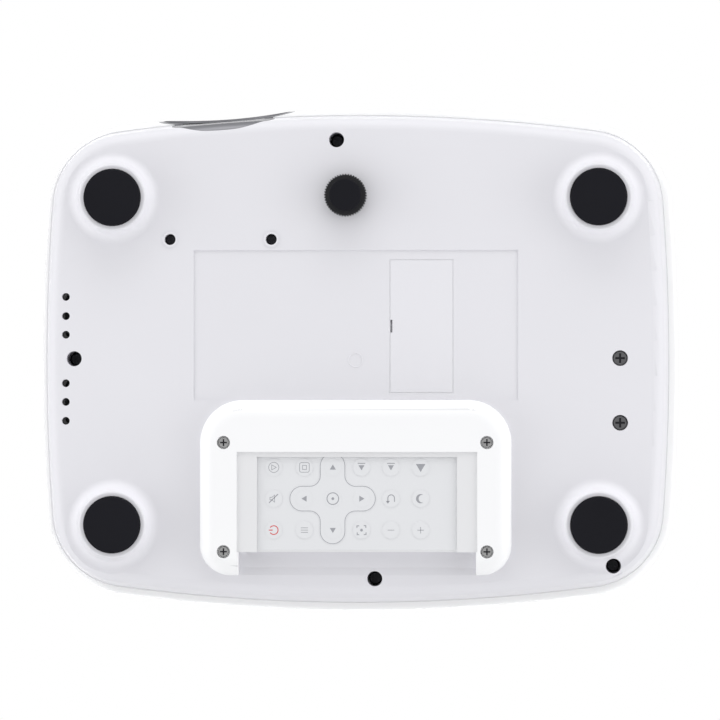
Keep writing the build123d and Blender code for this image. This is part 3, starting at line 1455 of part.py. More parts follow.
with BuildPart() as button_up:
    pad_key(pad_turns[0], *pad_key_places[0])
    fillet(button_up.edges().group_by(Axis.Z)[-1], key_edge)
button_up.part.label = "button_up"
export_step(button_up.part, "parts/button_up.step")

with BuildPart() as button_down:
    pad_key(pad_turns[1], *pad_key_places[1])
    fillet(button_down.edges().group_by(Axis.Z)[-1], key_edge)
button_down.part.label = "button_down"
export_step(button_down.part, "parts/button_down.step")

with BuildPart() as button_left:
    pad_key(pad_turns[2], *pad_key_places[2])
    fillet(button_left.edges().group_by(Axis.Z)[-1], key_edge)
button_left.part.label = "button_left"
export_step(button_left.part, "parts/button_left.step")

with BuildPart() as button_right:
    pad_key(pad_turns[3], *pad_key_places[3])
    fillet(button_right.edges().group_by(Axis.Z)[-1], key_edge)
button_right.part.label = "button_right"
export_step(button_right.part, "parts/button_right.step")

with BuildPart() as button_ok:
    round_key(0, keypad_y, ok_radius, 0)
    fillet(button_ok.edges().group_by(Axis.Z)[-1], key_edge)
button_ok.part.label = "button_ok"
export_step(button_ok.part, "parts/button_ok.step")

with BuildPart() as button_power:
    round_key(*round_key_places[0], key_radius, flange_reach)
    fillet(button_power.edges().group_by(Axis.Z)[-1], key_edge)
button_power.part.label = "button_power"
export_step(button_power.part, "parts/button_power.step")

with BuildPart() as button_source:
    round_key(*round_key_places[1], key_radius, flange_reach)
    fillet(button_source.edges().group_by(Axis.Z)[-1], key_edge)
button_source.part.label = "button_source"
export_step(button_source.part, "parts/button_source.step")

with BuildPart() as button_eject:
    round_key(*round_key_places[2], key_radius, flange_reach)
    fillet(button_eject.edges().group_by(Axis.Z)[-1], key_edge)
button_eject.part.label = "button_eject"
export_step(button_eject.part, "parts/button_eject.step")

with BuildPart() as button_back:
    round_key(*round_key_places[3], key_radius, flange_reach)
    fillet(button_back.edges().group_by(Axis.Z)[-1], key_edge)
button_back.part.label = "button_back"
export_step(button_back.part, "parts/button_back.step")

# ------------------------------------------------------------------ feet and cleaning hatch
with BuildPart() as rubber_feet:
    for x, y in foot_places:
        rod(x, y, 0, foot_seat_z, foot_radius)
    fillet(rubber_feet.edges().group_by(Axis.Z)[0], 0.6)
rubber_feet.part.label = "rubber_feet"
export_step(rubber_feet.part, "parts/rubber_feet.step")

stud_radius = 3.0
with BuildPart() as foot_nut:
    rod(*tilt_foot_place, nut_low_z, nut_low_z + nut_height, nut_radius)
    rod(*tilt_foot_place, nut_low_z - 1, nut_low_z + nut_height + 1, stud_radius, Mode.SUBTRACT)
foot_nut.part.label = "foot_nut"
export_step(foot_nut.part, "parts/foot_nut.step")

wheel_low_z, wheel_high_z = 3.2, 8.6
wheel_teeth = 48
stud_fit = 0.05
stud_top_z = nut_low_z + nut_height + tilt_travel - 1.6
pad_pin_radius = 1.55
with BuildPart() as tilt_wheel:
    with BuildSketch(Plane.XY.offset(wheel_low_z)) as knurl:
        with BuildLine():
            toothed(tilt_wheel_radius, 0.5, wheel_teeth)
        make_face()
    extrude(knurl.sketch, amount=wheel_high_z - wheel_low_z)
    rod(0, 0, wheel_high_z - 0.1, stud_top_z, stud_radius - stud_fit)
    rod(0, 0, wheel_low_z - 1, wheel_low_z + 3.2, pad_pin_radius + stud_fit, Mode.SUBTRACT)
tilt_wheel.part.locate(Location((*tilt_foot_place, 0)))
tilt_wheel.part.label = "tilt_wheel"
export_step(tilt_wheel.part, "parts/tilt_wheel.step")

with BuildPart() as tilt_pad:
    rod(*tilt_foot_place, 0.8, wheel_low_z - 0.3, tilt_pad_radius)
    fillet(tilt_pad.edges().group_by(Axis.Z)[0], 0.6)
    rod(*tilt_foot_place, 2.0, wheel_low_z + 2.9, pad_pin_radius)
tilt_pad.part.label = "tilt_pad"
export_step(tilt_pad.part, "parts/tilt_pad.step")

plug_gap, plug_wall = 1.0, 1.4
notch_half = 2.5
with BuildPart() as hatch:
    plate_low_z = hatch_seat_z - hatch_gap - hatch_thickness
    block(
        (hatch_low[0] + hatch_gap, hatch_low[1] + hatch_gap, plate_low_z),
        (hatch_high[0] - hatch_gap, hatch_high[1] - hatch_gap, plate_low_z + hatch_thickness),
    )
    for inset, low_up, high_up, mode in (
        (plug_gap, 0.5, hatch_thickness + 4.0, Mode.ADD),
        (plug_gap + plug_wall, hatch_thickness, hatch_thickness + 5.0, Mode.SUBTRACT),
    ):
        block(
            (duct_low[0] + inset, duct_low[1] + inset, plate_low_z + low_up),
            (duct_high[0] - inset, duct_high[1] - inset, plate_low_z + high_up),
            mode,
        )
    # notch for a fingernail or a coin
    block(
        (hatch_low[0] - 1, light_y - notch_half, plate_low_z - 1),
        (hatch_low[0] + hatch_gap + 0.8, light_y + notch_half, plate_low_z + hatch_thickness + 1),
        Mode.SUBTRACT,
    )
hatch.part.label = "hatch"
export_step(hatch.part, "parts/hatch.step")

# ------------------------------------------------------------------ speakers
speaker_x = (sound_hole_x - 2.1, sound_hole_x + 9.9)
speaker_margin, speaker_height = 4.25, 8.0
with BuildPart() as speakers:
    for first in (0, 3):
        low_y, high_y = sound_hole_ys[first] - speaker_margin, sound_hole_ys[first + 2] + speaker_margin
        block((speaker_x[0], low_y, floor_z), (speaker_x[1], high_y, floor_z + speaker_height))
        with BuildSketch(Plane(origin=(0, 0, floor_z), x_dir=(0, 1, 0), z_dir=(0, 0, 1))) as cone_well:
            with Locations(((low_y + high_y) / 2, -(speaker_x[0] + speaker_x[1]) / 2)):
                SlotOverall(20.0, 9.0)
                SlotOverall(11.0, 3.6, mode=Mode.SUBTRACT)
        extrude(cone_well.sketch, amount=2.0, mode=Mode.SUBTRACT)
speakers.part.label = "speakers"
export_step(speakers.part, "parts/speakers.step")

# ------------------------------------------------------------------ remote cradle
channel_low_z = remote_face_z - 0.3
channel_low_x, channel_high_x = remote_low_x - remote_gap, remote_high_x + remote_gap
channel_low_y = remote_low_y - remote_gap
small_head_radius, small_head_height = 2.1, 1.2
small_seat_z = cradle_face_z + 1.7
cradle_wall = 2.0
window_ledge = 2.6
window_rim, window_rim_depth = 8.0, 0.6
hollow_half_length, hollow_margin = 40.0, 5.0

with BuildPart() as remote_cover:
    with BuildSketch(Plane.XY.offset(cradle_face_z)) as cradle_outline:
        with Locations(((cradle_low[0] + cradle_high[0]) / 2, (cradle_low[1] + cradle_high[1]) / 2)):
            Rectangle(cradle_high[0] - cradle_low[0], cradle_high[1] - cradle_low[1])
        for x in (cradle_low[0], cradle_high[0]):
            round_corner(cradle_outline, x, cradle_low[1], cradle_corner)
            round_corner(cradle_outline, x, cradle_high[1], cradle_rear_corner)
    extrude(amount=plate_z - cradle_face_z)
    fillet(remote_cover.edges().group_by(Axis.Z)[0], cradle_shoulder)
    # channel of the remote, the window that shows its keys and the mouth it slides out of
    block(
        (channel_low_x, channel_low_y, channel_low_z),
        (channel_high_x, cradle_high[1] + 1, plate_z + 1),
        Mode.SUBTRACT,
    )
    block(
        (remote_low_x + window_margin, remote_low_y + window_ledge, cradle_face_z - 1),
        (remote_high_x - window_margin, cradle_high[1] + 1, plate_z),
        Mode.SUBTRACT,
    )
    block(
        (mouth_low_x, mouth_y, cradle_face_z - 1),
        (mouth_high_x, cradle_high[1] + 1, plate_z + 1),
        Mode.SUBTRACT,
    )
    # shallow sunk rim beside and in front of the window
    block(
        (remote_low_x + window_margin - window_rim, remote_low_y + 0.6, cradle_face_z - 1),
        (remote_high_x - window_margin + window_rim, mouth_y, cradle_face_z + window_rim_depth),
        Mode.SUBTRACT,
    )
    # hollows above the shoulders, between the screw bosses
    block(
        (-hollow_half_length, cradle_low[1] + hollow_margin, cradle_face_z + cradle_wall),
        (hollow_half_length, channel_low_y - cradle_wall, plate_z + 1),
        Mode.SUBTRACT,
    )
    for side in (-1, 1):
        inner_x = channel_high_x if side > 0 else channel_low_x
        block(
            (inner_x + side * cradle_wall, cradle_screw_ys[0] + 6, cradle_face_z + cradle_wall),
            (side * (cradle_screw_x + 4.6), cradle_screw_ys[1] - 6, plate_z + 1),
            Mode.SUBTRACT,
        )
    for x, y in cradle_screw_places:
        rod(x, y, cradle_face_z - 1, small_seat_z, small_head_radius + 0.5, Mode.SUBTRACT)
        rod(x, y, cradle_face_z, plate_z + 1, clear_radius, Mode.SUBTRACT)
remote_cover.part.label = "remote_cover"
export_step(remote_cover.part, "parts/remote_cover.step")

# ------------------------------------------------------------------ remote control
overlay_thickness = 0.4
remote_top_z = remote_face_z + remote_thickness
remote_corner = 5.0
cell_pocket = (24.0, 46.0, 67.0)
coin_radius = 10.0
key_columns = (-32.1, -20.0, -8.8, 2.5, 14.1, 25.8)
key_rows = (43.2, 55.5, 67.9)
cross_place = (-8.9, 55.5)
cross_length, cross_height, cross_arm, cross_curve = 34.2, 36.0, 10.2, 3.9
key_dome_radius = 3.4

with BuildPart() as remote_case:
    with BuildSketch(Plane.XY.offset(remote_face_z + overlay_thickness)):
        with Locations(remote_centre):
            RectangleRounded(remote_length, remote_width, remote_corner)
    extrude(amount=remote_thickness - overlay_thickness)
    fillet(remote_case.edges().group_by(Axis.Z)[-1], 0.8)
    # trough of the circuit board, and slot of the cell tray
    block(
        (remote_low_x + 2, remote_low_y + 2, remote_face_z),
        (cell_pocket[0] - 2, remote_high_y - 2, remote_top_z - 1),
        Mode.SUBTRACT,
    )
    block(
        (cell_pocket[0] - 0.2, cell_pocket[1] - 0.1, remote_face_z + 1.3),
        (remote_high_x + 1, cell_pocket[2] + 0.1, remote_top_z - 0.6),
        Mode.SUBTRACT,
    )
remote_case.part.label = "remote_case"
export_step(remote_case.part, "parts/remote_case.step")

with BuildPart() as remote_keypad:
    with BuildSketch(Plane.XY.offset(remote_face_z)):
        with Locations(remote_centre):
            RectangleRounded(remote_length - 1.6, remote_width - 1.6, remote_corner - 0.8)
    extrude(amount=overlay_thickness)
    block(
        (remote_low_x + 2.2, remote_low_y + 2.2, remote_face_z + overlay_thickness - 0.1),
        (cell_pocket[0] - 2.2, remote_high_y - 2.2, remote_face_z + overlay_thickness + 1.2),
    )
    # raised cross of the arrow keys, and the low domes over all keys
    with BuildSketch(Plane.XY.offset(remote_face_z - 0.1)) as cross:
        with Locations(cross_place):
            SlotOverall(cross_length, cross_arm)
            SlotOverall(cross_height, cross_arm, rotation=90)
        fillet(cross.vertices().sort_by_distance(cross_place)[:4], cross_curve)
    extrude(cross.sketch, amount=0.2)
    for x in key_columns:
        for y in key_rows:
            rod(x, y, remote_face_z - 0.15, remote_face_z + 0.1, key_dome_radius)
remote_keypad.part.label = "remote_keypad"
export_step(remote_keypad.part, "parts/remote_keypad.step")

with BuildPart() as battery_tray:
    low_z, high_z = remote_face_z + 1.4, remote_top_z - 0.7
    block((cell_pocket[0], cell_pocket[1], low_z), (remote_high_x, cell_pocket[2], high_z))
    coin_x = cell_pocket[0] + coin_radius + 0.3
    rod(coin_x, remote_centre[1], low_z - 1, high_z - 0.5, coin_radius + 0.1, Mode.SUBTRACT)
    for y in (remote_centre[1] - 5, remote_centre[1], remote_centre[1] + 5):
        block((remote_high_x - 0.4, y - 0.5, low_z), (remote_high_x + 1, y + 0.5, high_z), Mode.SUBTRACT)
battery_tray.part.label = "battery_tray"
export_step(battery_tray.part, "parts/battery_tray.step")

# ------------------------------------------------------------------ the screws in their places
case_screw = screw(screw_seat_z, 16.0)
bracket_screw = screw(bracket_seat_z, 12.0, 2.9, bracket_head_height)
small_screw = screw(0, 10.0, small_head_radius, small_head_height)

with BuildPart() as case_screws:
    with Locations(*((x, y, 0) for x, y in case_screw_places)):
        add(case_screw)
case_screws.part.label = "case_screws"
export_step(case_screws.part, "parts/case_screws.step")

with BuildPart() as bracket_screws:
    with Locations(*((x, y, 0) for x, y in bracket_screw_places)):
        add(bracket_screw)
bracket_screws.part.label = "bracket_screws"
export_step(bracket_screws.part, "parts/bracket_screws.step")

with BuildPart() as small_screws:
    with Locations(*((x, y, small_seat_z) for x, y in cradle_screw_places)):
        add(small_screw)
    with Locations(*((x, y, engine_seat_z) for x, y in engine_screw_places)):
        add(small_screw)
small_screws.part.label = "small_screws"
export_step(small_screws.part, "parts/small_screws.step")
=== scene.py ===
"""A table-top projector with a disc tray, dressed for a catalogue picture of its underside.

Metres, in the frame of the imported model: +Z is up, the feet stand on z = 0, the lens looks along -Y
and the disc tray slides out along +X.
"""

import math

import bmesh
import bpy
from mathutils import Matrix, Vector
from mathutils.bvhtree import BVHTree


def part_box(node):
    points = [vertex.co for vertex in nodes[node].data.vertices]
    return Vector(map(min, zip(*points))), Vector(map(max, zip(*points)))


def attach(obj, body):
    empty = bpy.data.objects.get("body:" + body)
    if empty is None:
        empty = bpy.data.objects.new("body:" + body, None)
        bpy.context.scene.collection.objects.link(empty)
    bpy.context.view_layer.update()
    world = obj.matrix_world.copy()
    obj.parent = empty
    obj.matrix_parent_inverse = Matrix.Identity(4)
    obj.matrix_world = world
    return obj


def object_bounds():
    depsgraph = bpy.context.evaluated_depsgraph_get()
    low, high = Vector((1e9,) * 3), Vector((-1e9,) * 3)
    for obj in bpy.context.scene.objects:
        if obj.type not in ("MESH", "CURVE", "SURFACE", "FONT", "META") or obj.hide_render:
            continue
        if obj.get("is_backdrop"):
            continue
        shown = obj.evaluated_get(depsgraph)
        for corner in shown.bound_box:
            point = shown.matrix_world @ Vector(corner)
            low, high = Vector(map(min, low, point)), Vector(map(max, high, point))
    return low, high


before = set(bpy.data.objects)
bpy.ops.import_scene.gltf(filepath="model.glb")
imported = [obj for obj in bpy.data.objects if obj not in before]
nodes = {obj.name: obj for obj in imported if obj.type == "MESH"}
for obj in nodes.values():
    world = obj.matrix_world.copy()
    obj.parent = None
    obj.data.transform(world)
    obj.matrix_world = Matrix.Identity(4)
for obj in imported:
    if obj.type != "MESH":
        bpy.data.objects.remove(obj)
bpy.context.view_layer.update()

# ---------------------------------------------------------------- housing
# Bottom case and top cover are injection-moulded ABS, the lower one a shade greyer.  The tool was
# spark-eroded, so the outside has a fine, even grain.  Four screws pull the halves together.

mm = 0.001
plate_white = (0.742, 0.736, 0.768)
cover_white = (0.762, 0.762, 0.772)


def shader_of(material):
    """The principled shader of a new node material."""
    material.use_nodes = True
    return material.node_tree.nodes["Principled BSDF"]


def noise(tree, place, scale, detail):
    """A cloudy pattern over a place, with this many clouds to a metre."""
    clouds = tree.nodes.new("ShaderNodeTexNoise")
    clouds.inputs["Scale"].default_value = scale
    clouds.inputs["Detail"].default_value = detail
    tree.links.new(place, clouds.inputs["Vector"])
    return clouds.outputs["Fac"]


def shaded(tree, pattern, dark, pale, start=0.0, end=1.0):
    """A colour that goes from dark to pale while a pattern goes from start to end."""
    ramp = tree.nodes.new("ShaderNodeValToRGB")
    first, last = ramp.color_ramp.elements
    first.position, last.position = start, end
    first.color, last.color = (*dark, 1), (*pale, 1)
    tree.links.new(pattern, ramp.inputs["Fac"])
    return ramp.outputs["Color"]


def mottled(tree, pattern, colour, mottle, **limits):
    """A colour that a pattern makes a little darker and a little paler."""
    dark, pale = ([min(1.0, part * share) for part in colour] for share in (1 - mottle, 1 + mottle))
    return shaded(tree, pattern, dark, pale, **limits)


def ranged(tree, pattern, low, high):
    """A pattern brought between two values."""
    limits = tree.nodes.new("ShaderNodeMapRange")
    limits.inputs["To Min"].default_value = low
    limits.inputs["To Max"].default_value = high
    tree.links.new(pattern, limits.inputs["Value"])
    return limits.outputs["Result"]


def relief(tree, pattern, height, strength=1.0):
    """A bump whose height in metres follows a pattern."""
    bump = tree.nodes.new("ShaderNodeBump")
    bump.inputs["Strength"].default_value = strength
    bump.inputs["Distance"].default_value = height
    tree.links.new(pattern, bump.inputs["Height"])
    return bump


def finish(shader, tree, colour, roughness, bump=None):
    """Leads a colour, a roughness and a bump to the shader."""
    tree.links.new(colour, shader.inputs["Base Color"])
    tree.links.new(roughness, shader.inputs["Roughness"])
    if bump is not None:
        tree.links.new(bump.outputs["Normal"], shader.inputs["Normal"])


def grained(name, colour, roughness, grain, height, mottle=0.02, **sockets):
    """A moulded finish: a colour that drifts a little, and grains of this width and height in metres."""
    material = bpy.data.materials.new(name)
    shader = shader_of(material)
    tree = material.node_tree
    place = tree.nodes.new("ShaderNodeTexCoord").outputs["Object"]
    drift = noise(tree, place, scale=28.0, detail=4.0)
    grit = noise(tree, place, scale=1 / grain, detail=3.0)
    tint = mottled(tree, drift, colour, mottle, start=0.3, end=0.7)
    sheen = ranged(tree, drift, roughness * 0.88, min(1.0, roughness * 1.12))
    finish(shader, tree, tint, sheen, relief(tree, grit, height, strength=0.6))
    for socket, value in sockets.items():
        shader.inputs[socket.replace("_", " ")].default_value = value
    return material


def dress(material, *names):
    """Gives whole CAD nodes one finish."""
    for name in names:
        nodes[name].data.materials.clear()
        nodes[name].data.materials.append(material)


def new_piece(name, points, faces, material, body, slot, smooth=False):
    """A piece from points in millimetres and faces, on the body that carries it."""
    mesh = bpy.data.meshes.new(name)
    mesh.from_pydata([Vector(point) * mm for point in points], [], faces)
    shaper = bmesh.new()
    shaper.from_mesh(mesh)
    bmesh.ops.remove_doubles(shaper, verts=shaper.verts, dist=1e-7)
    bmesh.ops.recalc_face_normals(shaper, faces=shaper.faces)
    shaper.to_mesh(mesh)
    shaper.free()
    for face in mesh.polygons:
        face.use_smooth = smooth
    mesh.materials.append(material)
    piece = bpy.data.objects.new(name, mesh)
    bpy.context.scene.collection.objects.link(piece)
    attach(piece, body)
    return piece


def spun(profile, steps, place):
    """Points and faces of a closed profile of (radius, height) turned about an upright axis."""
    points, faces = [], []
    for step in range(steps):
        turn = 2 * math.pi * step / steps
        points += [
            (place[0] + radius * math.cos(turn), place[1] + radius * math.sin(turn), place[2] + height)
            for radius, height in profile
        ]
    rows = len(profile)
    for step in range(steps):
        here, there = step * rows, (step + 1) % steps * rows
        for row in range(rows):
            after = (row + 1) % rows
            faces.append((here + row, there + row, there + after, here + after))
    return points, faces


plate_finish = grained("plate_finish", plate_white, 0.5, 0.00035, 0.000012, mottle=0.006)
cover_finish = grained("cover_finish", cover_white, 0.42, 0.00035, 0.00001, mottle=0.004)
dress(plate_finish, "bottom_case")
dress(cover_finish, "top_cover")

# the mould's round gate mark, a low ring in the bare recess of the label
gate_place = (-0.1, 0.8, 10.4)
gate_profile = [(2.45, 0.05), (2.6, -0.16), (2.9, -0.16), (3.05, 0.05)]
new_piece("gate_mark", *spun(gate_profile, 64, gate_place), plate_finish, "housing", "white_case")

# ---------------------------------------------------------------- grilles and receiver window
# The two grilles are inserts in the cover's own plastic, pressed flush into the sides, and a woven
# dust screen lies behind the intake.  The receiver's window is a polished disc of smoked red.

dress(cover_finish, "exhaust_grille", "intake_grille")


def bar(low, high):
    """Points and faces of a square bar between two corners."""
    points = [(x, y, z) for x in (low[0], high[0]) for y in (low[1], high[1]) for z in (low[2], high[2])]
    faces = [(0, 1, 3, 2), (4, 6, 7, 5), (0, 4, 5, 1), (2, 3, 7, 6), (0, 2, 6, 4), (1, 5, 7, 3)]
    return points, faces


def joined(*solids):
    """Points and faces of several solids in one list."""
    points, faces = [], []
    for more_points, more_faces in solids:
        faces += [tuple(index + len(points) for index in face) for face in more_faces]
        points += more_points
    return points, faces


# the screen lies inside the left wall: wires along Y, and behind them upright ones
screen_x, screen_half, screen_low_z, screen_high_z = -122.3, 33.0, 50.0, 84.8
wire, mesh_pitch = 0.22, 1.1
wires = []
for step in range(int((screen_high_z - screen_low_z) / mesh_pitch)):
    z = screen_low_z + mesh_pitch * step
    wires.append(bar((screen_x, -screen_half, z), (screen_x + wire, screen_half, z + wire)))
for step in range(int(2 * screen_half / mesh_pitch)):
    y = -screen_half + mesh_pitch * step
    wires.append(bar((screen_x + wire, y, screen_low_z), (screen_x + 2 * wire, y + wire, screen_high_z)))
screen_black = grained("screen_black", (0.03, 0.03, 0.032), 0.6, 0.0002, 0.00001, mottle=0.1)
new_piece("intake_dust_screen", *joined(*wires), screen_black, "housing", "dark_plastic")

window_red = grained("window_red", (0.06, 0.006, 0.01), 0.08, 0.002, 0.000002, mottle=0.05)
dress(window_red, "ir_window")

# ---------------------------------------------------------------- lens bowl, focus ring and lens
# The bowl is a funnel in silver paint round the lens.  Ring, tube and cell are black nylon, and both
# elements are polished glass with a violet coating.

silver = grained(
    "silver_paint",
    (0.235, 0.235, 0.25),
    0.38,
    0.0006,
    0.000004,
    mottle=0.03,
    Metallic=0.6,
    Specular_Tint=(0.25, 0.25, 0.26, 1),
    Specular_IOR_Level=0.2,
)
dress(silver, "lens_bowl")

# the bowl's painted lip: a skin on the case's lower shoulder, from the mouth's edge down to a round chin
case_mesh = nodes["bottom_case"].data
case_tree = BVHTree.FromPolygons(
    [corner.co / mm for corner in case_mesh.vertices], [tuple(face.vertices) for face in case_mesh.polygons]
)
bowl_low, bowl_high = (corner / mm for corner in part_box("lens_bowl"))
bowl_x, bowl_z, bowl_radius = (bowl_low.x + bowl_high.x) / 2, 46.0, 27.55
lip_half, lip_end, lip_low_z, lip_fullness = 20.5, 0.999, 10.4, 3.4
lip_proud, lip_sunk = 0.08, 0.05
tip_z = bowl_z - math.sqrt(bowl_radius**2 - lip_half**2)
before_case_y = -130.0
columns_across, rows_up = 72, 18
sheet = []
for column in range(columns_across + 1):
    along = math.sin(math.pi / 2 * (2 * column / columns_across - 1)) * lip_end
    x = lip_half * along
    high_z = bowl_z - math.sqrt(bowl_radius**2 - x * x)
    low_z = tip_z - (tip_z - lip_low_z) * (1 - abs(along) ** lip_fullness) ** (1 / lip_fullness)
    for row in range(rows_up + 1):
        z = low_z + (high_z - low_z) * (row / rows_up) ** 2
        sheet.append(case_tree.ray_cast(Vector((bowl_x + x, before_case_y, z)), Vector((0, 1, 0)))[:2])
count = len(sheet)
points = [tuple(place + normal * lip_proud) for place, normal in sheet]
points += [tuple(place - normal * lip_sunk) for place, normal in sheet]
tall = rows_up + 1
faces = []
for column in range(columns_across):
    for row in range(rows_up):
        first = column * tall + row
        faces.append((first, first + tall, first + tall + 1, first + 1))
        faces.append((count + first, count + first + 1, count + first + tall + 1, count + first + tall))
    for row in (0, rows_up):
        first = column * tall + row
        faces.append((first, first + tall, count + first + tall, count + first))
for column in (0, columns_across):
    for row in range(rows_up):
        first = column * tall + row
        faces.append((first, first + 1, count + first + 1, count + first))
new_piece("bowl_lip", points, faces, silver, "housing", "silver_trim", True)

black_nylon = grained("black_nylon", (0.022, 0.022, 0.024), 0.52, 0.0005, 0.00002, mottle=0.1)
dress(black_nylon, "focus_ring", "lens_tube", "lens_cell")


def clear(name, tint, index, roughness, coating, coat=0.0):
    """Glass or clear plastic, with faint smears on its surface and a coloured reflection."""
    material = bpy.data.materials.new(name)
    shader = shader_of(material)
    shader.inputs["Transmission Weight"].default_value = 1.0
    shader.inputs["IOR"].default_value = index
    shader.inputs["Specular Tint"].default_value = (*coating, 1)
    shader.inputs["Coat Weight"].default_value = coat
    tree = material.node_tree
    place = tree.nodes.new("ShaderNodeTexCoord").outputs["Object"]
    smear = noise(tree, place, scale=60.0, detail=6.0)
    shade = shaded(tree, smear, [part * 0.97 for part in tint], tint)
    finish(shader, tree, shade, ranged(tree, smear, roughness, roughness + 0.03))
    return material


dress(clear("coated_glass", (0.86, 0.90, 0.97), 1.58, 0.0, (0.62, 0.45, 1.0), coat=0.4), "lens_glass")

# ---------------------------------------------------------------- light engine
# A black box of glass-filled nylon carries mirror, panel, lenses and lamp.  The lamp's board is
# screwed to an extruded heat sink that the exhaust fan blows through.

engine_black = grained("engine_black", (0.03, 0.031, 0.034), 0.6, 0.0009, 0.00005, mottle=0.12)
dress(engine_black, "engine_case", "engine_lid")
dress(clear("condenser_glass", (0.92, 0.96, 0.95), 1.52, 0.0, (1, 1, 1)), "condenser_lens")
fresnel_acrylic = clear("fresnel_acrylic", (0.94, 0.96, 0.97), 1.49, 0.06, (1, 1, 1))
dress(fresnel_acrylic, "fresnel_lenses")
panel_glass = grained("panel_glass", (0.05, 0.055, 0.065), 0.06, 0.003, 0.000001, mottle=0.05)
dress(panel_glass, "lcd_panel")
silvered = grained("silvered", (0.90, 0.91, 0.92), 0.04, 0.004, 0.0000005, mottle=0.005, Metallic=1.0)
dress(silvered, "mirror")


def metal(name, colour, roughness, stretch, height, mottle=0.05):
    """Rolled, drawn or ground metal, with its fine scratches longest where the stretch is smallest."""
    material = bpy.data.materials.new(name)
    shader = shader_of(material)
    shader.inputs["Metallic"].default_value = 1.0
    tree = material.node_tree
    place = tree.nodes.new("ShaderNodeTexCoord").outputs["Object"]
    turn = tree.nodes.new("ShaderNodeMapping")
    turn.inputs["Scale"].default_value = stretch
    tree.links.new(place, turn.inputs["Vector"])
    lines = noise(tree, turn.outputs["Vector"], scale=1200.0, detail=5.0)
    tint = mottled(tree, lines, colour, mottle)
    sheen = ranged(tree, lines, roughness * 0.8, min(1.0, roughness * 1.3))
    finish(shader, tree, tint, sheen, relief(tree, lines, height, strength=0.5))
    return material


def zone(name, material, inside):
    """Gives the faces of a CAD node whose middles pass a test a finish of their own."""
    mesh = nodes[name].data
    mesh.materials.append(material)
    slot = len(mesh.materials) - 1
    for face in mesh.polygons:
        if inside(face.center / mm):
            face.material_index = slot


extruded = metal("extruded_aluminium", (0.72, 0.73, 0.74), 0.34, (1, 1, 0.04), 0.00001)
dress(extruded, "heat_sink", "led_module")
phosphor = grained("lamp_phosphor", (0.78, 0.62, 0.10), 0.5, 0.0003, 0.00001, mottle=0.05)
phosphor_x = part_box("led_module")[0].x / mm + 0.2
zone("led_module", phosphor, lambda place: place.x < phosphor_x)
fan_black = grained("fan_black", (0.02, 0.02, 0.021), 0.36, 0.0008, 0.00001, mottle=0.1)
dress(fan_black, "fan_frame", "fan_rotor")

# ---------------------------------------------------------------- disc drive
# A slim drive in a pressed case of zinc-plated sheet.  The tray is black moulding on two rails; the
# sled with the lens runs under it on two ground rods, and the white bezel closes the housing's side.

zinc_sheet = metal("zinc_sheet", (0.60, 0.61, 0.62), 0.3, (0.05, 1, 1), 0.000006)
dress(zinc_sheet, "drive_bracket", "drive_chassis", "drive_cover", "tray_rails", "traverse_deck")
ground_steel = metal("ground_steel", (0.66, 0.66, 0.67), 0.16, (1, 1, 1), 0.000002)
tray_black = grained("tray_black", (0.016, 0.016, 0.018), 0.42, 0.0005, 0.00002, mottle=0.08)
dress(tray_black, "tray", "pickup", "spindle_hub")
dress(cover_finish, "tray_bezel")
soft_grey = grained("soft_grey", (0.36, 0.37, 0.39), 0.4, 0.0004, 0.000008, mottle=0.02)
dress(soft_grey, "eject_button")


def threaded(name, colour, roughness, pitch, turn):
    """Metal with a thread cut round it: fine bands across the direction that the turn brings to X."""
    material = metal(name, colour, roughness, (1, 1, 1), 0.000002)
    tree = material.node_tree
    place = tree.nodes.new("ShaderNodeTexCoord")
    mapping = tree.nodes.new("ShaderNodeMapping")
    mapping.inputs["Rotation"].default_value = turn
    bands = tree.nodes.new("ShaderNodeTexWave")
    bands.wave_profile = "TRI"
    bands.inputs["Scale"].default_value = math.pi / (10 * pitch)
    groove = relief(tree, bands.outputs["Fac"], pitch / 4)
    normal = tree.nodes["Principled BSDF"].inputs["Normal"]
    tree.links.new(place.outputs["Object"], mapping.inputs["Vector"])
    tree.links.new(mapping.outputs["Vector"], bands.inputs["Vector"])
    tree.links.new(normal.links[0].from_socket, groove.inputs["Normal"])
    tree.links.new(groove.outputs["Normal"], normal)
    return material


# the sled's way runs at 45 degrees, and the deck's two rods lie between these heights
eighth = math.radians(45)
rods_low_z, rods_high_z = 77.3, 78.6
dress(threaded("lead_thread", (0.66, 0.66, 0.67), 0.2, 0.0006, (0, 0, eighth)), "lead_screw")
zone("traverse_deck", ground_steel, lambda place: rods_low_z < place.z < rods_high_z)

# rubber ring on the turntable, which the disc rests on
hub_low, hub_high = (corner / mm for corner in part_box("spindle_hub"))
hub_x = (hub_low.x + hub_high.x) / 2
table_z = hub_low.z + 1.2
grip_rubber = grained("grip_rubber", (0.03, 0.03, 0.032), 0.8, 0.0004, 0.00002, mottle=0.1)
ring_profile = [(12.2, -0.02), (12.2, 0.14), (12.5, 0.2), (13.3, 0.2), (13.6, 0.14), (13.6, -0.02)]
ring = spun(ring_profile, 72, (hub_x, 0, table_z))
new_piece("turntable_ring", *ring, grip_rubber, "spindle_hub", "rubber", True)

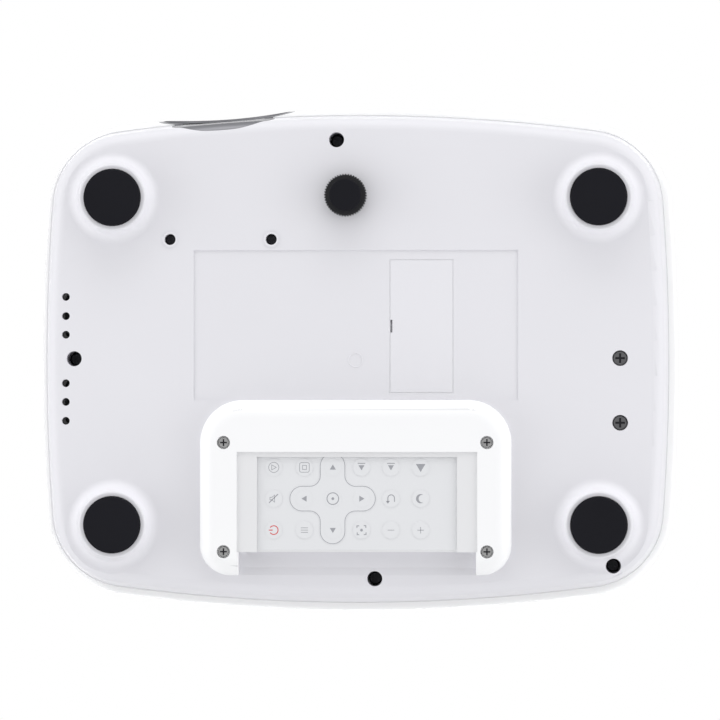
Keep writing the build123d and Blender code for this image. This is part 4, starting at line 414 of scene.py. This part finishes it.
# the laser's lens, a low dome on the sled's top at the innermost track; profiles start just off their axis
sled_start = 24.0
sled_top_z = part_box("pickup")[1].z / mm
lens_middle = (hub_x + sled_start * math.cos(eighth), -sled_start * math.sin(eighth), sled_top_z)
dome_radius, dome_height, dome_sunk, off_axis = 1.9, 0.55, 0.05, 0.0001
rises = [step / 8 * math.pi / 2 for step in range(9)]
dome = [(off_axis, -dome_sunk)]
dome += [(off_axis + dome_radius * math.sin(a), dome_height * math.cos(a) - dome_sunk) for a in rises]
laser_glass = clear("laser_glass", (0.62, 0.72, 0.95), 1.6, 0.0, (0.6, 0.5, 1.0), coat=0.5)
new_piece("pickup_lens", *spun(dome, 40, lens_middle), laser_glass, "pickup", "lens_glass", True)

# the indicator's light pipe, a round-ended pin that lies in its hole in the bezel
lamp_y, lamp_z, lamp_radius = 30.0, 80.4, 0.72
lamp_back_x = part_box("tray_bezel")[1].x / mm - 5.0
light_pipe = grained("light_pipe", (0.25, 0.55, 0.30), 0.25, 0.0005, 0.000002, mottle=0.03)
pipe_end = [(lamp_radius, 3.6), (lamp_radius * 0.7, 3.95), (off_axis, 4.05)]
pipe_profile = [(off_axis, 0), (lamp_radius, 0), *pipe_end]
points, faces = spun(pipe_profile, 32, (0, 0, 0))
points = [(lamp_back_x + z, lamp_y + x, lamp_z + y) for x, y, z in points]
new_piece("tray_lamp", points, faces, light_pipe, "tray", "grey_plastic", True)

# ---------------------------------------------------------------- boards, speakers and sockets
# Two green boards on standoffs, the keypad's board under the top, and the rear panel with the
# two-pole mains inlet, two jacks and two steel-shelled digital sockets.

green_mask = grained("green_mask", (0.012, 0.085, 0.035), 0.28, 0.0012, 0.00001, mottle=0.15)
dress(green_mask, "main_board", "power_board", "keypad_board")
gloss_black = grained("gloss_black", (0.012, 0.012, 0.013), 0.22, 0.0009, 0.000005, mottle=0.08)
dress(gloss_black, "power_inlet", "av_jacks", "speakers")
dress(zinc_sheet, "signal_sockets")
panel_grey = grained("panel_grey", (0.20, 0.205, 0.215), 0.5, 0.0004, 0.00001, mottle=0.05)
dress(panel_grey, "port_panel")

# black chips on the main board, and aluminium cans and fins that stand higher
board_height, chip_height = 1.62, 2.5
mask_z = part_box("main_board")[0].z / mm + board_height
chip_black = grained("chip_black", (0.02, 0.02, 0.021), 0.45, 0.0003, 0.000005, mottle=0.1)
can_metal = metal("capacitor_can", (0.70, 0.71, 0.72), 0.28, (1, 1, 1), 0.000002)
zone("main_board", chip_black, lambda place: place.z > mask_z)
zone("main_board", can_metal, lambda place: place.z > mask_z + chip_height)

# ferrite core, taped winding, black capacitor sleeves and an aluminium sink on the power board
power_low, power_high = (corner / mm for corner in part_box("power_board"))
power_mask_z = power_low.z + board_height
ferrite = grained("ferrite", (0.045, 0.043, 0.042), 0.7, 0.0006, 0.00002, mottle=0.1)
tape = grained("yellow_tape", (0.62, 0.44, 0.05), 0.35, 0.003, 0.000008, mottle=0.06)
sleeve = grained("capacitor_sleeve", (0.015, 0.018, 0.03), 0.3, 0.0008, 0.000004, mottle=0.06)
core_x = (power_low.x + 21.9, power_low.x + 50.1)
winding_x = (power_low.x + 26.9, power_low.x + 45.1)
winding_y = (power_low.y + 6.9, power_low.y + 35.1)
winding_z = (power_mask_z + 0.6, power_high.z - 4.0)
sink_x = power_low.x + 4.1


def in_winding(place):
    """Whether a place lies on the transformer's winding."""
    return (
        winding_x[0] < place.x < winding_x[1]
        and winding_y[0] < place.y < winding_y[1]
        and winding_z[0] < place.z < winding_z[1]
    )


zone("power_board", sleeve, lambda place: place.z > power_mask_z)
zone("power_board", ferrite, lambda place: place.z > power_mask_z and core_x[0] < place.x < core_x[1])
zone("power_board", tape, in_winding)
zone("power_board", can_metal, lambda place: place.z > power_mask_z and place.x < sink_x)

# switch caps, mains pins, plastic tongues in the sockets and the speakers' paper cones
switch_white = grained("switch_cap", (0.6, 0.6, 0.6), 0.4, 0.0003, 0.000002, mottle=0.04)
caps_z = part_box("keypad_board")[0].z / mm + 1.95
zone("keypad_board", switch_white, lambda place: place.z > caps_z)
inlet_low, inlet_high = (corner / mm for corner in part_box("power_inlet"))
inlet_middle = (inlet_low + inlet_high) / 2
pin_offset, pin_reach = 4.3, 1.25
pin_nickel = metal("pin_nickel", (0.72, 0.70, 0.66), 0.2, (1, 1, 1), 0.000001)


def on_pin(place):
    """Whether a place lies on one of the mains inlet's two pins."""
    return math.hypot(abs(place.x - inlet_middle.x) - pin_offset, place.z - inlet_middle.z) < pin_reach


zone("power_inlet", pin_nickel, on_pin)
sockets_low, sockets_high = (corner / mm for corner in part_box("signal_sockets"))
video_x, data_x = 32.0, 56.0
# middle, height and half sizes of each tongue, which ends behind the shell's mouth
tongues = ((video_x, 2.8, 5.3, 0.55), (data_x, 3.6, 5.9, 1.0))
tongue_end_y = sockets_high.y - 1.0


def on_tongue(place):
    """Whether a place lies on the plastic tongue of one of the two digital sockets."""
    return place.y < tongue_end_y and any(
        abs(place.x - x) < half_width and abs(place.z - sockets_low.z - height) < half_height
        for x, height, half_width, half_height in tongues
    )


zone("signal_sockets", gloss_black, on_tongue)
cone_paper = grained("cone_paper", (0.05, 0.05, 0.052), 0.85, 0.0004, 0.00003, mottle=0.15)
speakers_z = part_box("speakers")[0].z / mm
cone_low_z, cone_high_z = speakers_z + 0.05, speakers_z + 2.1
zone("speakers", cone_paper, lambda place: cone_low_z < place.z < cone_high_z)

# gold-plated contacts on the tongues of the two digital sockets
gold = metal("contact_gold", (0.86, 0.62, 0.22), 0.18, (1, 1, 1), 0.000001)
contact_front_y, contact_back_y = sockets_high.y - 2.6, sockets_high.y - 8.0
contact_sunk, contact_proud = 0.03, 0.06
strips = []
for middle_x, count, pitch, width, height in ((video_x, 9, 1.0, 0.5, 2.28), (data_x, 4, 2.5, 1.1, 2.63)):
    for step in range(count):
        x = middle_x + (step - (count - 1) / 2) * pitch
        z = sockets_low.z + height
        low = (x - width / 2, contact_back_y, z - contact_sunk)
        strips.append(bar(low, (x + width / 2, contact_front_y, z + contact_proud)))
new_piece("socket_contacts", *joined(*strips), gold, "housing", "brass")

# ---------------------------------------------------------------- keypad
# Nine keys in satin grey plastic, held under the cover by their flanges.  Their plain symbols are
# pad-printed in pale ink.

dress(soft_grey, *(name for name in nodes if name.startswith("button_")))


def arc(middle, radius, start, end, steps=24):
    """Points of a flat arc, with its angles in degrees."""
    turns = [math.radians(start + (end - start) * step / steps) for step in range(steps + 1)]
    return [(middle[0] + radius * math.cos(turn), middle[1] + radius * math.sin(turn)) for turn in turns]


def stroke(path, width, closed=False):
    """The flat outline, or the ring of patches, that a pen of this width leaves along a path."""
    count = len(path)
    left, right = [], []
    for index, place in enumerate(path):
        before = path[index - 1] if index or closed else place
        after = path[(index + 1) % count] if index < count - 1 or closed else place
        lead = Vector(place) - Vector(before)
        trail = Vector(after) - Vector(place)
        lead = lead.normalized() if lead.length else trail.normalized()
        trail = trail.normalized() if trail.length else lead
        side = Vector((-(lead + trail).y, (lead + trail).x)).normalized()
        reach = width / 2 / max(0.5, side.dot(Vector((-lead.y, lead.x))))
        left.append(tuple(Vector(place) + side * reach))
        right.append(tuple(Vector(place) - side * reach))
    if closed:
        turns = [(index, (index + 1) % count) for index in range(count)]
        return [[left[a], left[b], right[b], right[a]] for a, b in turns]
    return [left + right[::-1]]


def printed(name, patches, place, across, z, material, body, slot):
    """Ink in flat patches: across is +1 or -1 for the way that the reader's right lies along X."""
    ink_half = 0.012
    points, faces = [], []
    for patch in patches:
        first, count = len(points), len(patch)
        for height in (z - ink_half, z + ink_half):
            points += [(place[0] + across * u, place[1] - v, height) for u, v in patch]
        faces.append(tuple(range(first, first + count)))
        faces.append(tuple(range(first + 2 * count - 1, first + count - 1, -1)))
        for index in range(count):
            after = (index + 1) % count
            faces.append((first + index, first + after, first + count + after, first + count + index))
    new_piece(name, points, faces, material, body, slot)


def turned_patches(patches, degrees):
    """The same patches turned about their own origin."""
    cos, sin = math.cos(math.radians(degrees)), math.sin(math.radians(degrees))
    return [[(u * cos - v * sin, u * sin + v * cos) for u, v in patch] for patch in patches]


def arrow_head(size):
    """A filled triangle that points up."""
    return [[(-0.62 * size, -0.45 * size), (0.62 * size, -0.45 * size), (0.0, 0.6 * size)]]


def power_ring(radius, width):
    """A ring that is open at the top, with a bar in the gap."""
    ring = stroke(arc((0, 0), radius, 125, 415, 40), width)
    return ring + stroke([(0, radius * 0.25), (0, radius * 1.15)], width)


key_ink = grained("key_ink", (0.78, 0.79, 0.80), 0.45, 0.0003, 0.000001, mottle=0.02)
pad_middle, pad_reach = (0.0, 50.0), 13.5
ink_proud = 0.008
ink_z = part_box("button_ok")[1].z / mm + ink_proud
for name, turn in (("up", 0), ("left", 90), ("down", 180), ("right", -90)):
    slide = math.radians(turn + 90)
    place = (pad_middle[0] - pad_reach * math.cos(slide), pad_middle[1] - pad_reach * math.sin(slide))
    head = turned_patches(arrow_head(2.6), turn)
    printed("symbol_" + name, head, place, -1, ink_z, key_ink, "button_" + name, "key_plastic")
ring = stroke(arc((0, 0), 2.2, 0, 360, 48)[:-1], 0.5, closed=True)
printed("symbol_ok", ring, pad_middle, -1, ink_z, key_ink, "button_ok", "key_plastic")
source_sign = stroke([(-2.4, 0.9), (-2.4, 1.9), (2.6, 1.9), (2.6, -1.9), (-2.4, -1.9), (-2.4, -0.9)], 0.4)
source_sign += stroke([(-3.4, 0.0), (-0.3, 0.0)], 0.4) + [[(-0.5, 0.9), (1.0, 0.0), (-0.5, -0.9)]]
eject_sign = [[(-2.3, -0.5), (2.3, -0.5), (0.0, 2.2)], [(-2.3, -1.9), (2.3, -1.9), (2.3, -1.2), (-2.3, -1.2)]]
hook = [(-2.2, 0.9), (1.0, 0.9)] + arc((1.0, -0.4), 1.3, 90, -90, 16) + [(-0.9, -1.7)]
back_sign = stroke(hook, 0.45) + [[(-1.7, 2.0), (-3.1, 0.9), (-1.7, -0.2)]]
key_x, front_key_y, rear_key_y = 34.0, 42.0, 58.0
for name, sign, place in (
    ("power", power_ring(2.1, 0.45), (-key_x, rear_key_y)),
    ("source", source_sign, (-key_x, front_key_y)),
    ("eject", eject_sign, (key_x, rear_key_y)),
    ("back", back_sign, (key_x, front_key_y)),
):
    printed("symbol_" + name, sign, place, -1, ink_z, key_ink, "button_" + name, "key_plastic")

# ---------------------------------------------------------------- feet and tilt foot
# Four solid rubber feet are pressed into their bosses.  The tilt foot is a knurled nylon wheel on an
# M6 stud in a brass nut, with a rubber pad that keeps still while the wheel turns.

foot_rubber = grained(
    "foot_rubber", (0.008, 0.008, 0.011), 0.6, 0.0009, 0.00002, mottle=0.1, Specular_IOR_Level=0.1
)
dress(foot_rubber, "rubber_feet", "tilt_pad")
wheel_black = grained(
    "wheel_black", (0.016, 0.016, 0.018), 0.5, 0.0006, 0.00002, mottle=0.1, Specular_IOR_Level=0.2
)
dress(wheel_black, "tilt_wheel")
tilt_x, tilt_y, stud_low_z, stud_reach = -3.9, -64.2, 8.7, 3.2
stud_thread = threaded("stud_thread", (0.55, 0.55, 0.56), 0.3, 0.001, (0, math.radians(90), 0))
zone(
    "tilt_wheel",
    stud_thread,
    lambda place: place.z > stud_low_z and math.hypot(place.x - tilt_x, place.y - tilt_y) < stud_reach,
)
turned_brass = metal("turned_brass", (0.78, 0.56, 0.26), 0.25, (1, 1, 8), 0.000006)
dress(turned_brass, "foot_nut")

# ---------------------------------------------------------------- cleaning hatch
# A loose plate in the bare recess, moulded in the housing's own plastic, with a hollow plug on its
# back that reaches into the duct to the light engine.  A strip of foam round it keeps dust out.

hatch_white = grained("hatch_white", (0.757, 0.751, 0.783), 0.42, 0.0005, 0.00001, mottle=0.006)
dress(hatch_white, "hatch")

# the strip of pale grey foam fills the joint round the hatch, a little under the surface
foam = grained("joint_foam", (0.78, 0.78, 0.80), 0.9, 0.0004, 0.00003, mottle=0.05)
hatch_low, hatch_high = (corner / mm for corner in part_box("hatch"))
near, far, foam_low_z, foam_high_z = 0.02, 0.28, 10.52, 11.85
outer_low, outer_high = hatch_low - Vector((far, far, 0)), hatch_high + Vector((far, far, 0))
inner_low, inner_high = hatch_low - Vector((near, near, 0)), hatch_high + Vector((near, near, 0))
strips = [
    bar((x_low, y_low, foam_low_z), (x_high, y_high, foam_high_z))
    for x_low, x_high, y_low, y_high in (
        (outer_low.x, inner_low.x, outer_low.y, outer_high.y),
        (inner_high.x, outer_high.x, outer_low.y, outer_high.y),
        (inner_low.x, inner_high.x, outer_low.y, inner_low.y),
        (inner_low.x, inner_high.x, inner_high.y, outer_high.y),
    )
]
new_piece("hatch_seal", *joined(*strips), foam, "housing", "rubber")

# ---------------------------------------------------------------- cradle and remote control
# The cradle is one soft-edged white moulding on four screws.  The remote is a thin card: a white
# case, a coin cell's drawer in its end, and a printed polyester film with domed keys.

cradle_white = grained("cradle_white", (0.90, 0.90, 0.905), 0.35, 0.0004, 0.000006, mottle=0.003)
dress(cradle_white, "remote_cover")

# the sunk rim beside and in front of the cradle's window is satin, and its colour is darker than the
# cradle's: painted shade of the recess
satin_rim_painted_shade = grained("satin_rim_painted_shade", (0.755, 0.755, 0.765), 0.5, 0.0004, 0.00001, mottle=0.004)
rim_z, rim_slack, rim_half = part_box("remote_cover")[0].z / mm + 0.6, 0.03, 48.0
zone("remote_cover", satin_rim_painted_shade, lambda place: abs(place.z - rim_z) < rim_slack and abs(place.x) < rim_half)

case_white = grained("case_white", (0.84, 0.84, 0.85), 0.38, 0.0004, 0.000006, mottle=0.004)
dress(case_white, "remote_case", "battery_tray")
film_white = grained("film_white", (0.735, 0.74, 0.755), 0.34, 0.0015, 0.000004, mottle=0.006)
dress(film_white, "remote_keypad")

# what is printed on the film: three rows of thin symbols, the outline of the cross and a red power ring
film_ink = grained("film_ink", (0.33, 0.335, 0.36), 0.5, 0.0003, 0.000001, mottle=0.03)
red_ink = grained("red_ink", (0.62, 0.03, 0.035), 0.45, 0.0003, 0.000001, mottle=0.03)
dome_z, cross_z = 3.838, 3.888
columns = (-32.1, -20.0, -8.8, 2.5, 14.1, 25.8)
rows = (43.2, 55.5, 67.9)
fine, plain = 0.22, 0.34

play = stroke([(-0.8, -1.0), (-0.8, 1.0), (1.0, 0.0)], fine, closed=True)
stop = stroke([(-0.8, -0.8), (0.8, -0.8), (0.8, 0.8), (-0.8, 0.8)], fine, closed=True)
frame_ring = stroke(arc((0, 0), 2.0, 0, 360, 40)[:-1], fine, closed=True)
box_corners = ((1.2, 1.2), (-1.2, 1.2), (-1.2, -1.2), (1.2, -1.2))
box_path = [
    point
    for quarter, corner in enumerate(box_corners)
    for point in arc(corner, 0.7, 90 * quarter, 90 * quarter + 90, 6)
]
frame_box = stroke(box_path, fine, closed=True)
small_up = arrow_head(1.9)
small_left, small_down, small_right = (turned_patches(small_up, turn) for turn in (90, 180, -90))
barred_down = turned_patches(arrow_head(1.9), 180) + stroke([(-1.5, 1.6), (1.5, 1.6)], plain)
bold_down = turned_patches(arrow_head(3.0), 180)
speaker = stroke([(-1.5, -0.5), (-0.7, -0.5), (0.3, -1.4), (0.3, 1.4), (-0.7, 0.5), (-1.5, 0.5)], fine, True)
mute = speaker + stroke([(-1.9, -1.7), (1.7, 1.8)], plain)
dot = [arc((0, 0), 0.55, 0, 360, 20)[:-1]]
centre_ring = stroke(arc((0, 0), 2.3, 0, 360, 48)[:-1], plain, closed=True) + dot
arch = stroke([(-1.2, -1.2), (-1.2, 0.2)] + arc((0.1, 0.2), 1.3, 180, 0, 20) + [(1.4, -1.2)], plain)
return_hook = arch + [[(-2.0, -0.9), (-0.4, -0.9), (-1.2, -2.0)]]
crescent = [arc((0, 0), 1.8, 60, 300, 30) + arc((0.75, 0), 1.55, 282, 78, 30)]
menu = [patch for v in (-0.9, 0.0, 0.9) for patch in stroke([(-1.4, v), (1.4, v)], fine)]
corner = stroke([(-1.8, 0.9), (-1.8, 1.7), (-0.9, 1.7)], plain)
brackets = [patch for turn in (0, 90, 180, 270) for patch in turned_patches(corner, turn)] + dot
volume = stroke([(-1.3, 0), (1.3, 0)], fine)
volume_up = volume + stroke([(0, -1.3), (0, 1.3)], fine)

signs = (
    (play + frame_ring, stop + frame_box, small_up, barred_down, barred_down, bold_down),
    (mute, small_left, centre_ring, small_right, return_hook, crescent),
    (None, menu, small_down, brackets, volume, volume_up),
)
for row, line in enumerate(signs):
    for column, sign in enumerate(line):
        if sign:
            place = (columns[column], rows[row])
            name = f"film_sign_{row + 1}{column + 1}"
            printed(name, sign, place, 1, dome_z, film_ink, "remote", "remote_film")
power_place = (columns[0], rows[2])
power_sign = turned_patches(power_ring(1.7, plain), 90)
printed("film_power_ring", power_sign, power_place, 1, dome_z, red_ink, "remote", "remote_film")

# the cross is outlined just inside its edge: round ends, and hollow corners between the arms
cross_middle, arm_half, cross_curve, inset = (-8.9, 55.5), 5.1, 3.9, 0.25
outline = []
for quarter, reach in enumerate((17.1, 18.0, 17.1, 18.0)):
    tip = arc((reach - arm_half, 0), arm_half - inset, -90, 90, 24)
    hollow = arc((arm_half + cross_curve, arm_half + cross_curve), cross_curve + inset, 270, 180, 12)
    outline += turned_patches([tip + hollow], 90 * quarter)[0]
edge = stroke(outline, fine, closed=True)
printed("film_cross", edge, cross_middle, 1, cross_z, film_ink, "remote", "remote_film")

# the coin cell lies in its drawer, plus pole up: a stamped steel can with a rolled edge
cell_steel = metal("cell_steel", (0.68, 0.68, 0.68), 0.22, (1, 0.06, 1), 0.000002)
cell_edge = [(8.6, 0.0), (8.9, 0.35), (9.6, 0.4), (9.9, 0.75), (9.9, 2.25), (9.65, 2.5)]
cell_profile = [(off_axis, 0.0), *cell_edge, (off_axis, 2.5)]
cell_place = (34.3, 56.5, 5.7)
new_piece("coin_cell", *spun(cell_profile, 96, cell_place), cell_steel, "remote", "zinc_steel", True)

# ---------------------------------------------------------------- screws
# Cross-head steel screws: black ones deep in the case and under the optics, dark grey ones in the
# drive's bracket, and nickel-plated ones in the cradle.

screw_black_and_recess_shade = metal("screw_black_and_recess_shade", (0.030, 0.030, 0.034), 0.42, (1, 1, 1), 0.000008, mottle=0.12)
dress(screw_black_and_recess_shade, "case_screws", "small_screws")
screw_grey = metal("screw_grey", (0.12, 0.12, 0.125), 0.38, (1, 1, 1), 0.000008, mottle=0.12)
dress(screw_grey, "bracket_screws")
screw_nickel = metal("screw_nickel", (0.33, 0.33, 0.33), 0.34, (1, 1, 1), 0.000008, mottle=0.2)
cradle_front_y = 20.0
zone("small_screws", screw_nickel, lambda place: place.y > cradle_front_y)


def in_recess(place, centres, reach, low_z, high_z):
    """Whether a place lies in the cross recess of one of these screw heads."""
    nearest = min(math.hypot(place.x - x, place.y - y) for x, y in centres)
    return nearest < reach and low_z < place.z < high_z


# the cross recesses in the cradle's nickel screws and the bracket's grey screws take the black finish as
# painted shade
cradle_centres = [(side * 51.9, y) for side in (-1, 1) for y in (33.4, 76.4)]
bracket_centres = [(104.4, 0.1), (104.4, 25.6)]
zone(
    "small_screws",
    screw_black_and_recess_shade,
    lambda place: in_recess(place, cradle_centres, reach=1.5, low_z=3.02, high_z=3.65),
)
zone(
    "bracket_screws",
    screw_black_and_recess_shade,
    lambda place: in_recess(place, bracket_centres, reach=2.1, low_z=10.62, high_z=11.5),
)

# ---------------------------------------------------------------- floor, lights and camera
# The part stands on a pale floor that only shows from above, in a white light tent.  Three soft
# boxes below the floor's height graze the underside, and a fourth hangs straight over the top.


def combined(tree, operation, first, second):
    """One of Blender's sums on two sockets, or on a number and a socket."""
    total = tree.nodes.new("ShaderNodeMath")
    total.operation = operation
    for value, socket in zip((first, second), total.inputs):
        if isinstance(value, float):
            socket.default_value = value
        else:
            tree.links.new(value, socket)
    return total.outputs["Value"]


def floor_material(near, far):
    """Matt white where the camera looks down on it near the part, clear from below and to other light."""
    material = bpy.data.materials.new("pale_floor")
    material.use_nodes = True
    tree = material.node_tree
    tree.nodes.clear()
    out = tree.nodes.new("ShaderNodeOutputMaterial")
    matt = tree.nodes.new("ShaderNodeBsdfDiffuse")
    matt.inputs["Color"].default_value = (0.9, 0.9, 0.9, 1)
    open_air = tree.nodes.new("ShaderNodeBsdfTransparent")
    side = tree.nodes.new("ShaderNodeNewGeometry")
    ray = tree.nodes.new("ShaderNodeLightPath")
    indirect = combined(tree, "SUBTRACT", 1.0, ray.outputs["Is Camera Ray"])
    either = combined(tree, "MAXIMUM", side.outputs["Backfacing"], indirect)
    place = tree.nodes.new("ShaderNodeTexCoord")
    reach = tree.nodes.new("ShaderNodeVectorMath")
    reach.operation = "LENGTH"
    fade = tree.nodes.new("ShaderNodeMapRange")
    fade.interpolation_type = "SMOOTHSTEP"
    fade.inputs["From Min"].default_value = near
    fade.inputs["From Max"].default_value = far
    tree.links.new(place.outputs["Object"], reach.inputs[0])
    tree.links.new(reach.outputs["Value"], fade.inputs["Value"])
    mix = tree.nodes.new("ShaderNodeMixShader")
    tree.links.new(combined(tree, "MAXIMUM", either, fade.outputs["Result"]), mix.inputs["Fac"])
    tree.links.new(matt.outputs["BSDF"], mix.inputs[1])
    tree.links.new(open_air.outputs["BSDF"], mix.inputs[2])
    tree.links.new(mix.outputs["Shader"], out.inputs["Surface"])
    return material


floor_reach, floor_z = 4.0, 0.0
floor_mesh = bpy.data.meshes.new("floor")
corners = [(-1, -1), (1, -1), (1, 1), (-1, 1)]
floor_mesh.from_pydata([(x * floor_reach, y * floor_reach, floor_z) for x, y in corners], [], [(0, 1, 2, 3)])
floor_mesh.materials.append(floor_material(near=0.24, far=1.0))
floor = bpy.data.objects.new("floor", floor_mesh)
bpy.context.scene.collection.objects.link(floor)
floor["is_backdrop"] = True


def soft_box(name, place, target, width, height, power):
    """A rectangular lamp that faces a target."""
    light = bpy.data.lights.new(name, "AREA")
    light.shape = "RECTANGLE"
    light.size, light.size_y = width, height
    light.energy = power
    lamp = bpy.data.objects.new(name, light)
    lamp.location = place
    lamp.rotation_mode = "QUATERNION"
    lamp.rotation_quaternion = (Vector(target) - Vector(place)).to_track_quat("-Z", "Y")
    bpy.context.scene.collection.objects.link(lamp)


middle = (0.0, 0.0, 0.03)
soft_box("left_box", (-0.55, 0.0, -0.17), (-0.1, 0.0, 0.03), 0.5, 0.25, 0.53)
soft_box("right_box", (0.55, 0.0, -0.17), (0.1, 0.0, 0.03), 0.5, 0.25, 0.56)
soft_box("front_box", (0.0, -1.1, -0.32), middle, 1.0, 0.4, 2.9)
soft_box("overhead_box", (0.0, -0.05, 1.3), middle, 0.9, 0.9, 9.0)

# a white light tent: brightest just under the horizon, dimmer straight below and overhead
tent_tint = (0.985, 0.99, 1.0)
tent_levels = ((0.001, 0.085), (0.2, 0.555), (0.4, 1.0), (0.575, 0.165), (0.999, 0.165))
world = bpy.data.worlds.new("studio")
bpy.context.scene.world = world
world.use_nodes = True
sky = world.node_tree
sky.nodes.clear()
sky_out = sky.nodes.new("ShaderNodeOutputWorld")
seen = sky.nodes.new("ShaderNodeBackground")
seen.inputs["Color"].default_value = (1, 1, 1, 1)
seen.inputs["Strength"].default_value = 1.0
ambient = sky.nodes.new("ShaderNodeBackground")
ambient.inputs["Strength"].default_value = 2.0
direction = sky.nodes.new("ShaderNodeTexCoord")
upness = sky.nodes.new("ShaderNodeSeparateXYZ")
spread = sky.nodes.new("ShaderNodeMapRange")
spread.inputs["From Min"].default_value = -1.0
tent = sky.nodes.new("ShaderNodeValToRGB")
for position, level in tent_levels:
    mark = tent.color_ramp.elements.new(position)
    mark.color = (*(part * level for part in tent_tint), 1)
tent.color_ramp.elements.remove(tent.color_ramp.elements[0])
tent.color_ramp.elements.remove(tent.color_ramp.elements[-1])
sky.links.new(direction.outputs["Generated"], upness.inputs["Vector"])
sky.links.new(upness.outputs["Z"], spread.inputs["Value"])
sky.links.new(spread.outputs["Result"], tent.inputs["Fac"])
sky.links.new(tent.outputs["Color"], ambient.inputs["Color"])
view = sky.nodes.new("ShaderNodeLightPath").outputs
mirrored = combined(sky, "MAXIMUM", view["Is Camera Ray"], view["Is Glossy Ray"])
choose = sky.nodes.new("ShaderNodeMixShader")
sky.links.new(combined(sky, "MAXIMUM", mirrored, view["Is Transmission Ray"]), choose.inputs["Fac"])
sky.links.new(ambient.outputs["Background"], choose.inputs[1])
sky.links.new(seen.outputs["Background"], choose.inputs[2])
sky.links.new(choose.outputs["Shader"], sky_out.inputs["Surface"])

# the photograph looks up at the base plate from two metres, a little from the right and the rear
plate_middle = Vector((0.0017, 0.00078, 0.010))
camera_rightward, camera_rearward, camera_distance = 0.070, 0.032, 2.0
field_width = 0.2844
camera_data = bpy.data.cameras.new("camera")
camera_data.sensor_width = 36.0
camera_data.lens = camera_data.sensor_width * camera_distance / field_width
camera_data.clip_start, camera_data.clip_end = 0.05, 50.0
camera = bpy.data.objects.new("camera", camera_data)
camera.location = plate_middle + Vector((camera_rightward, camera_rearward, -camera_distance))
forward = (plate_middle - camera.location).normalized()
upward = Vector((0, -1, 0))
rightward = forward.cross(upward).normalized()
upward = rightward.cross(forward)
turned = Matrix((rightward, upward, -forward)).transposed().to_4x4()
camera.matrix_world = Matrix.Translation(camera.location) @ turned
bpy.context.scene.collection.objects.link(camera)
bpy.context.scene.camera = camera
bpy.context.scene.view_settings.view_transform = "Standard"

low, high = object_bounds()
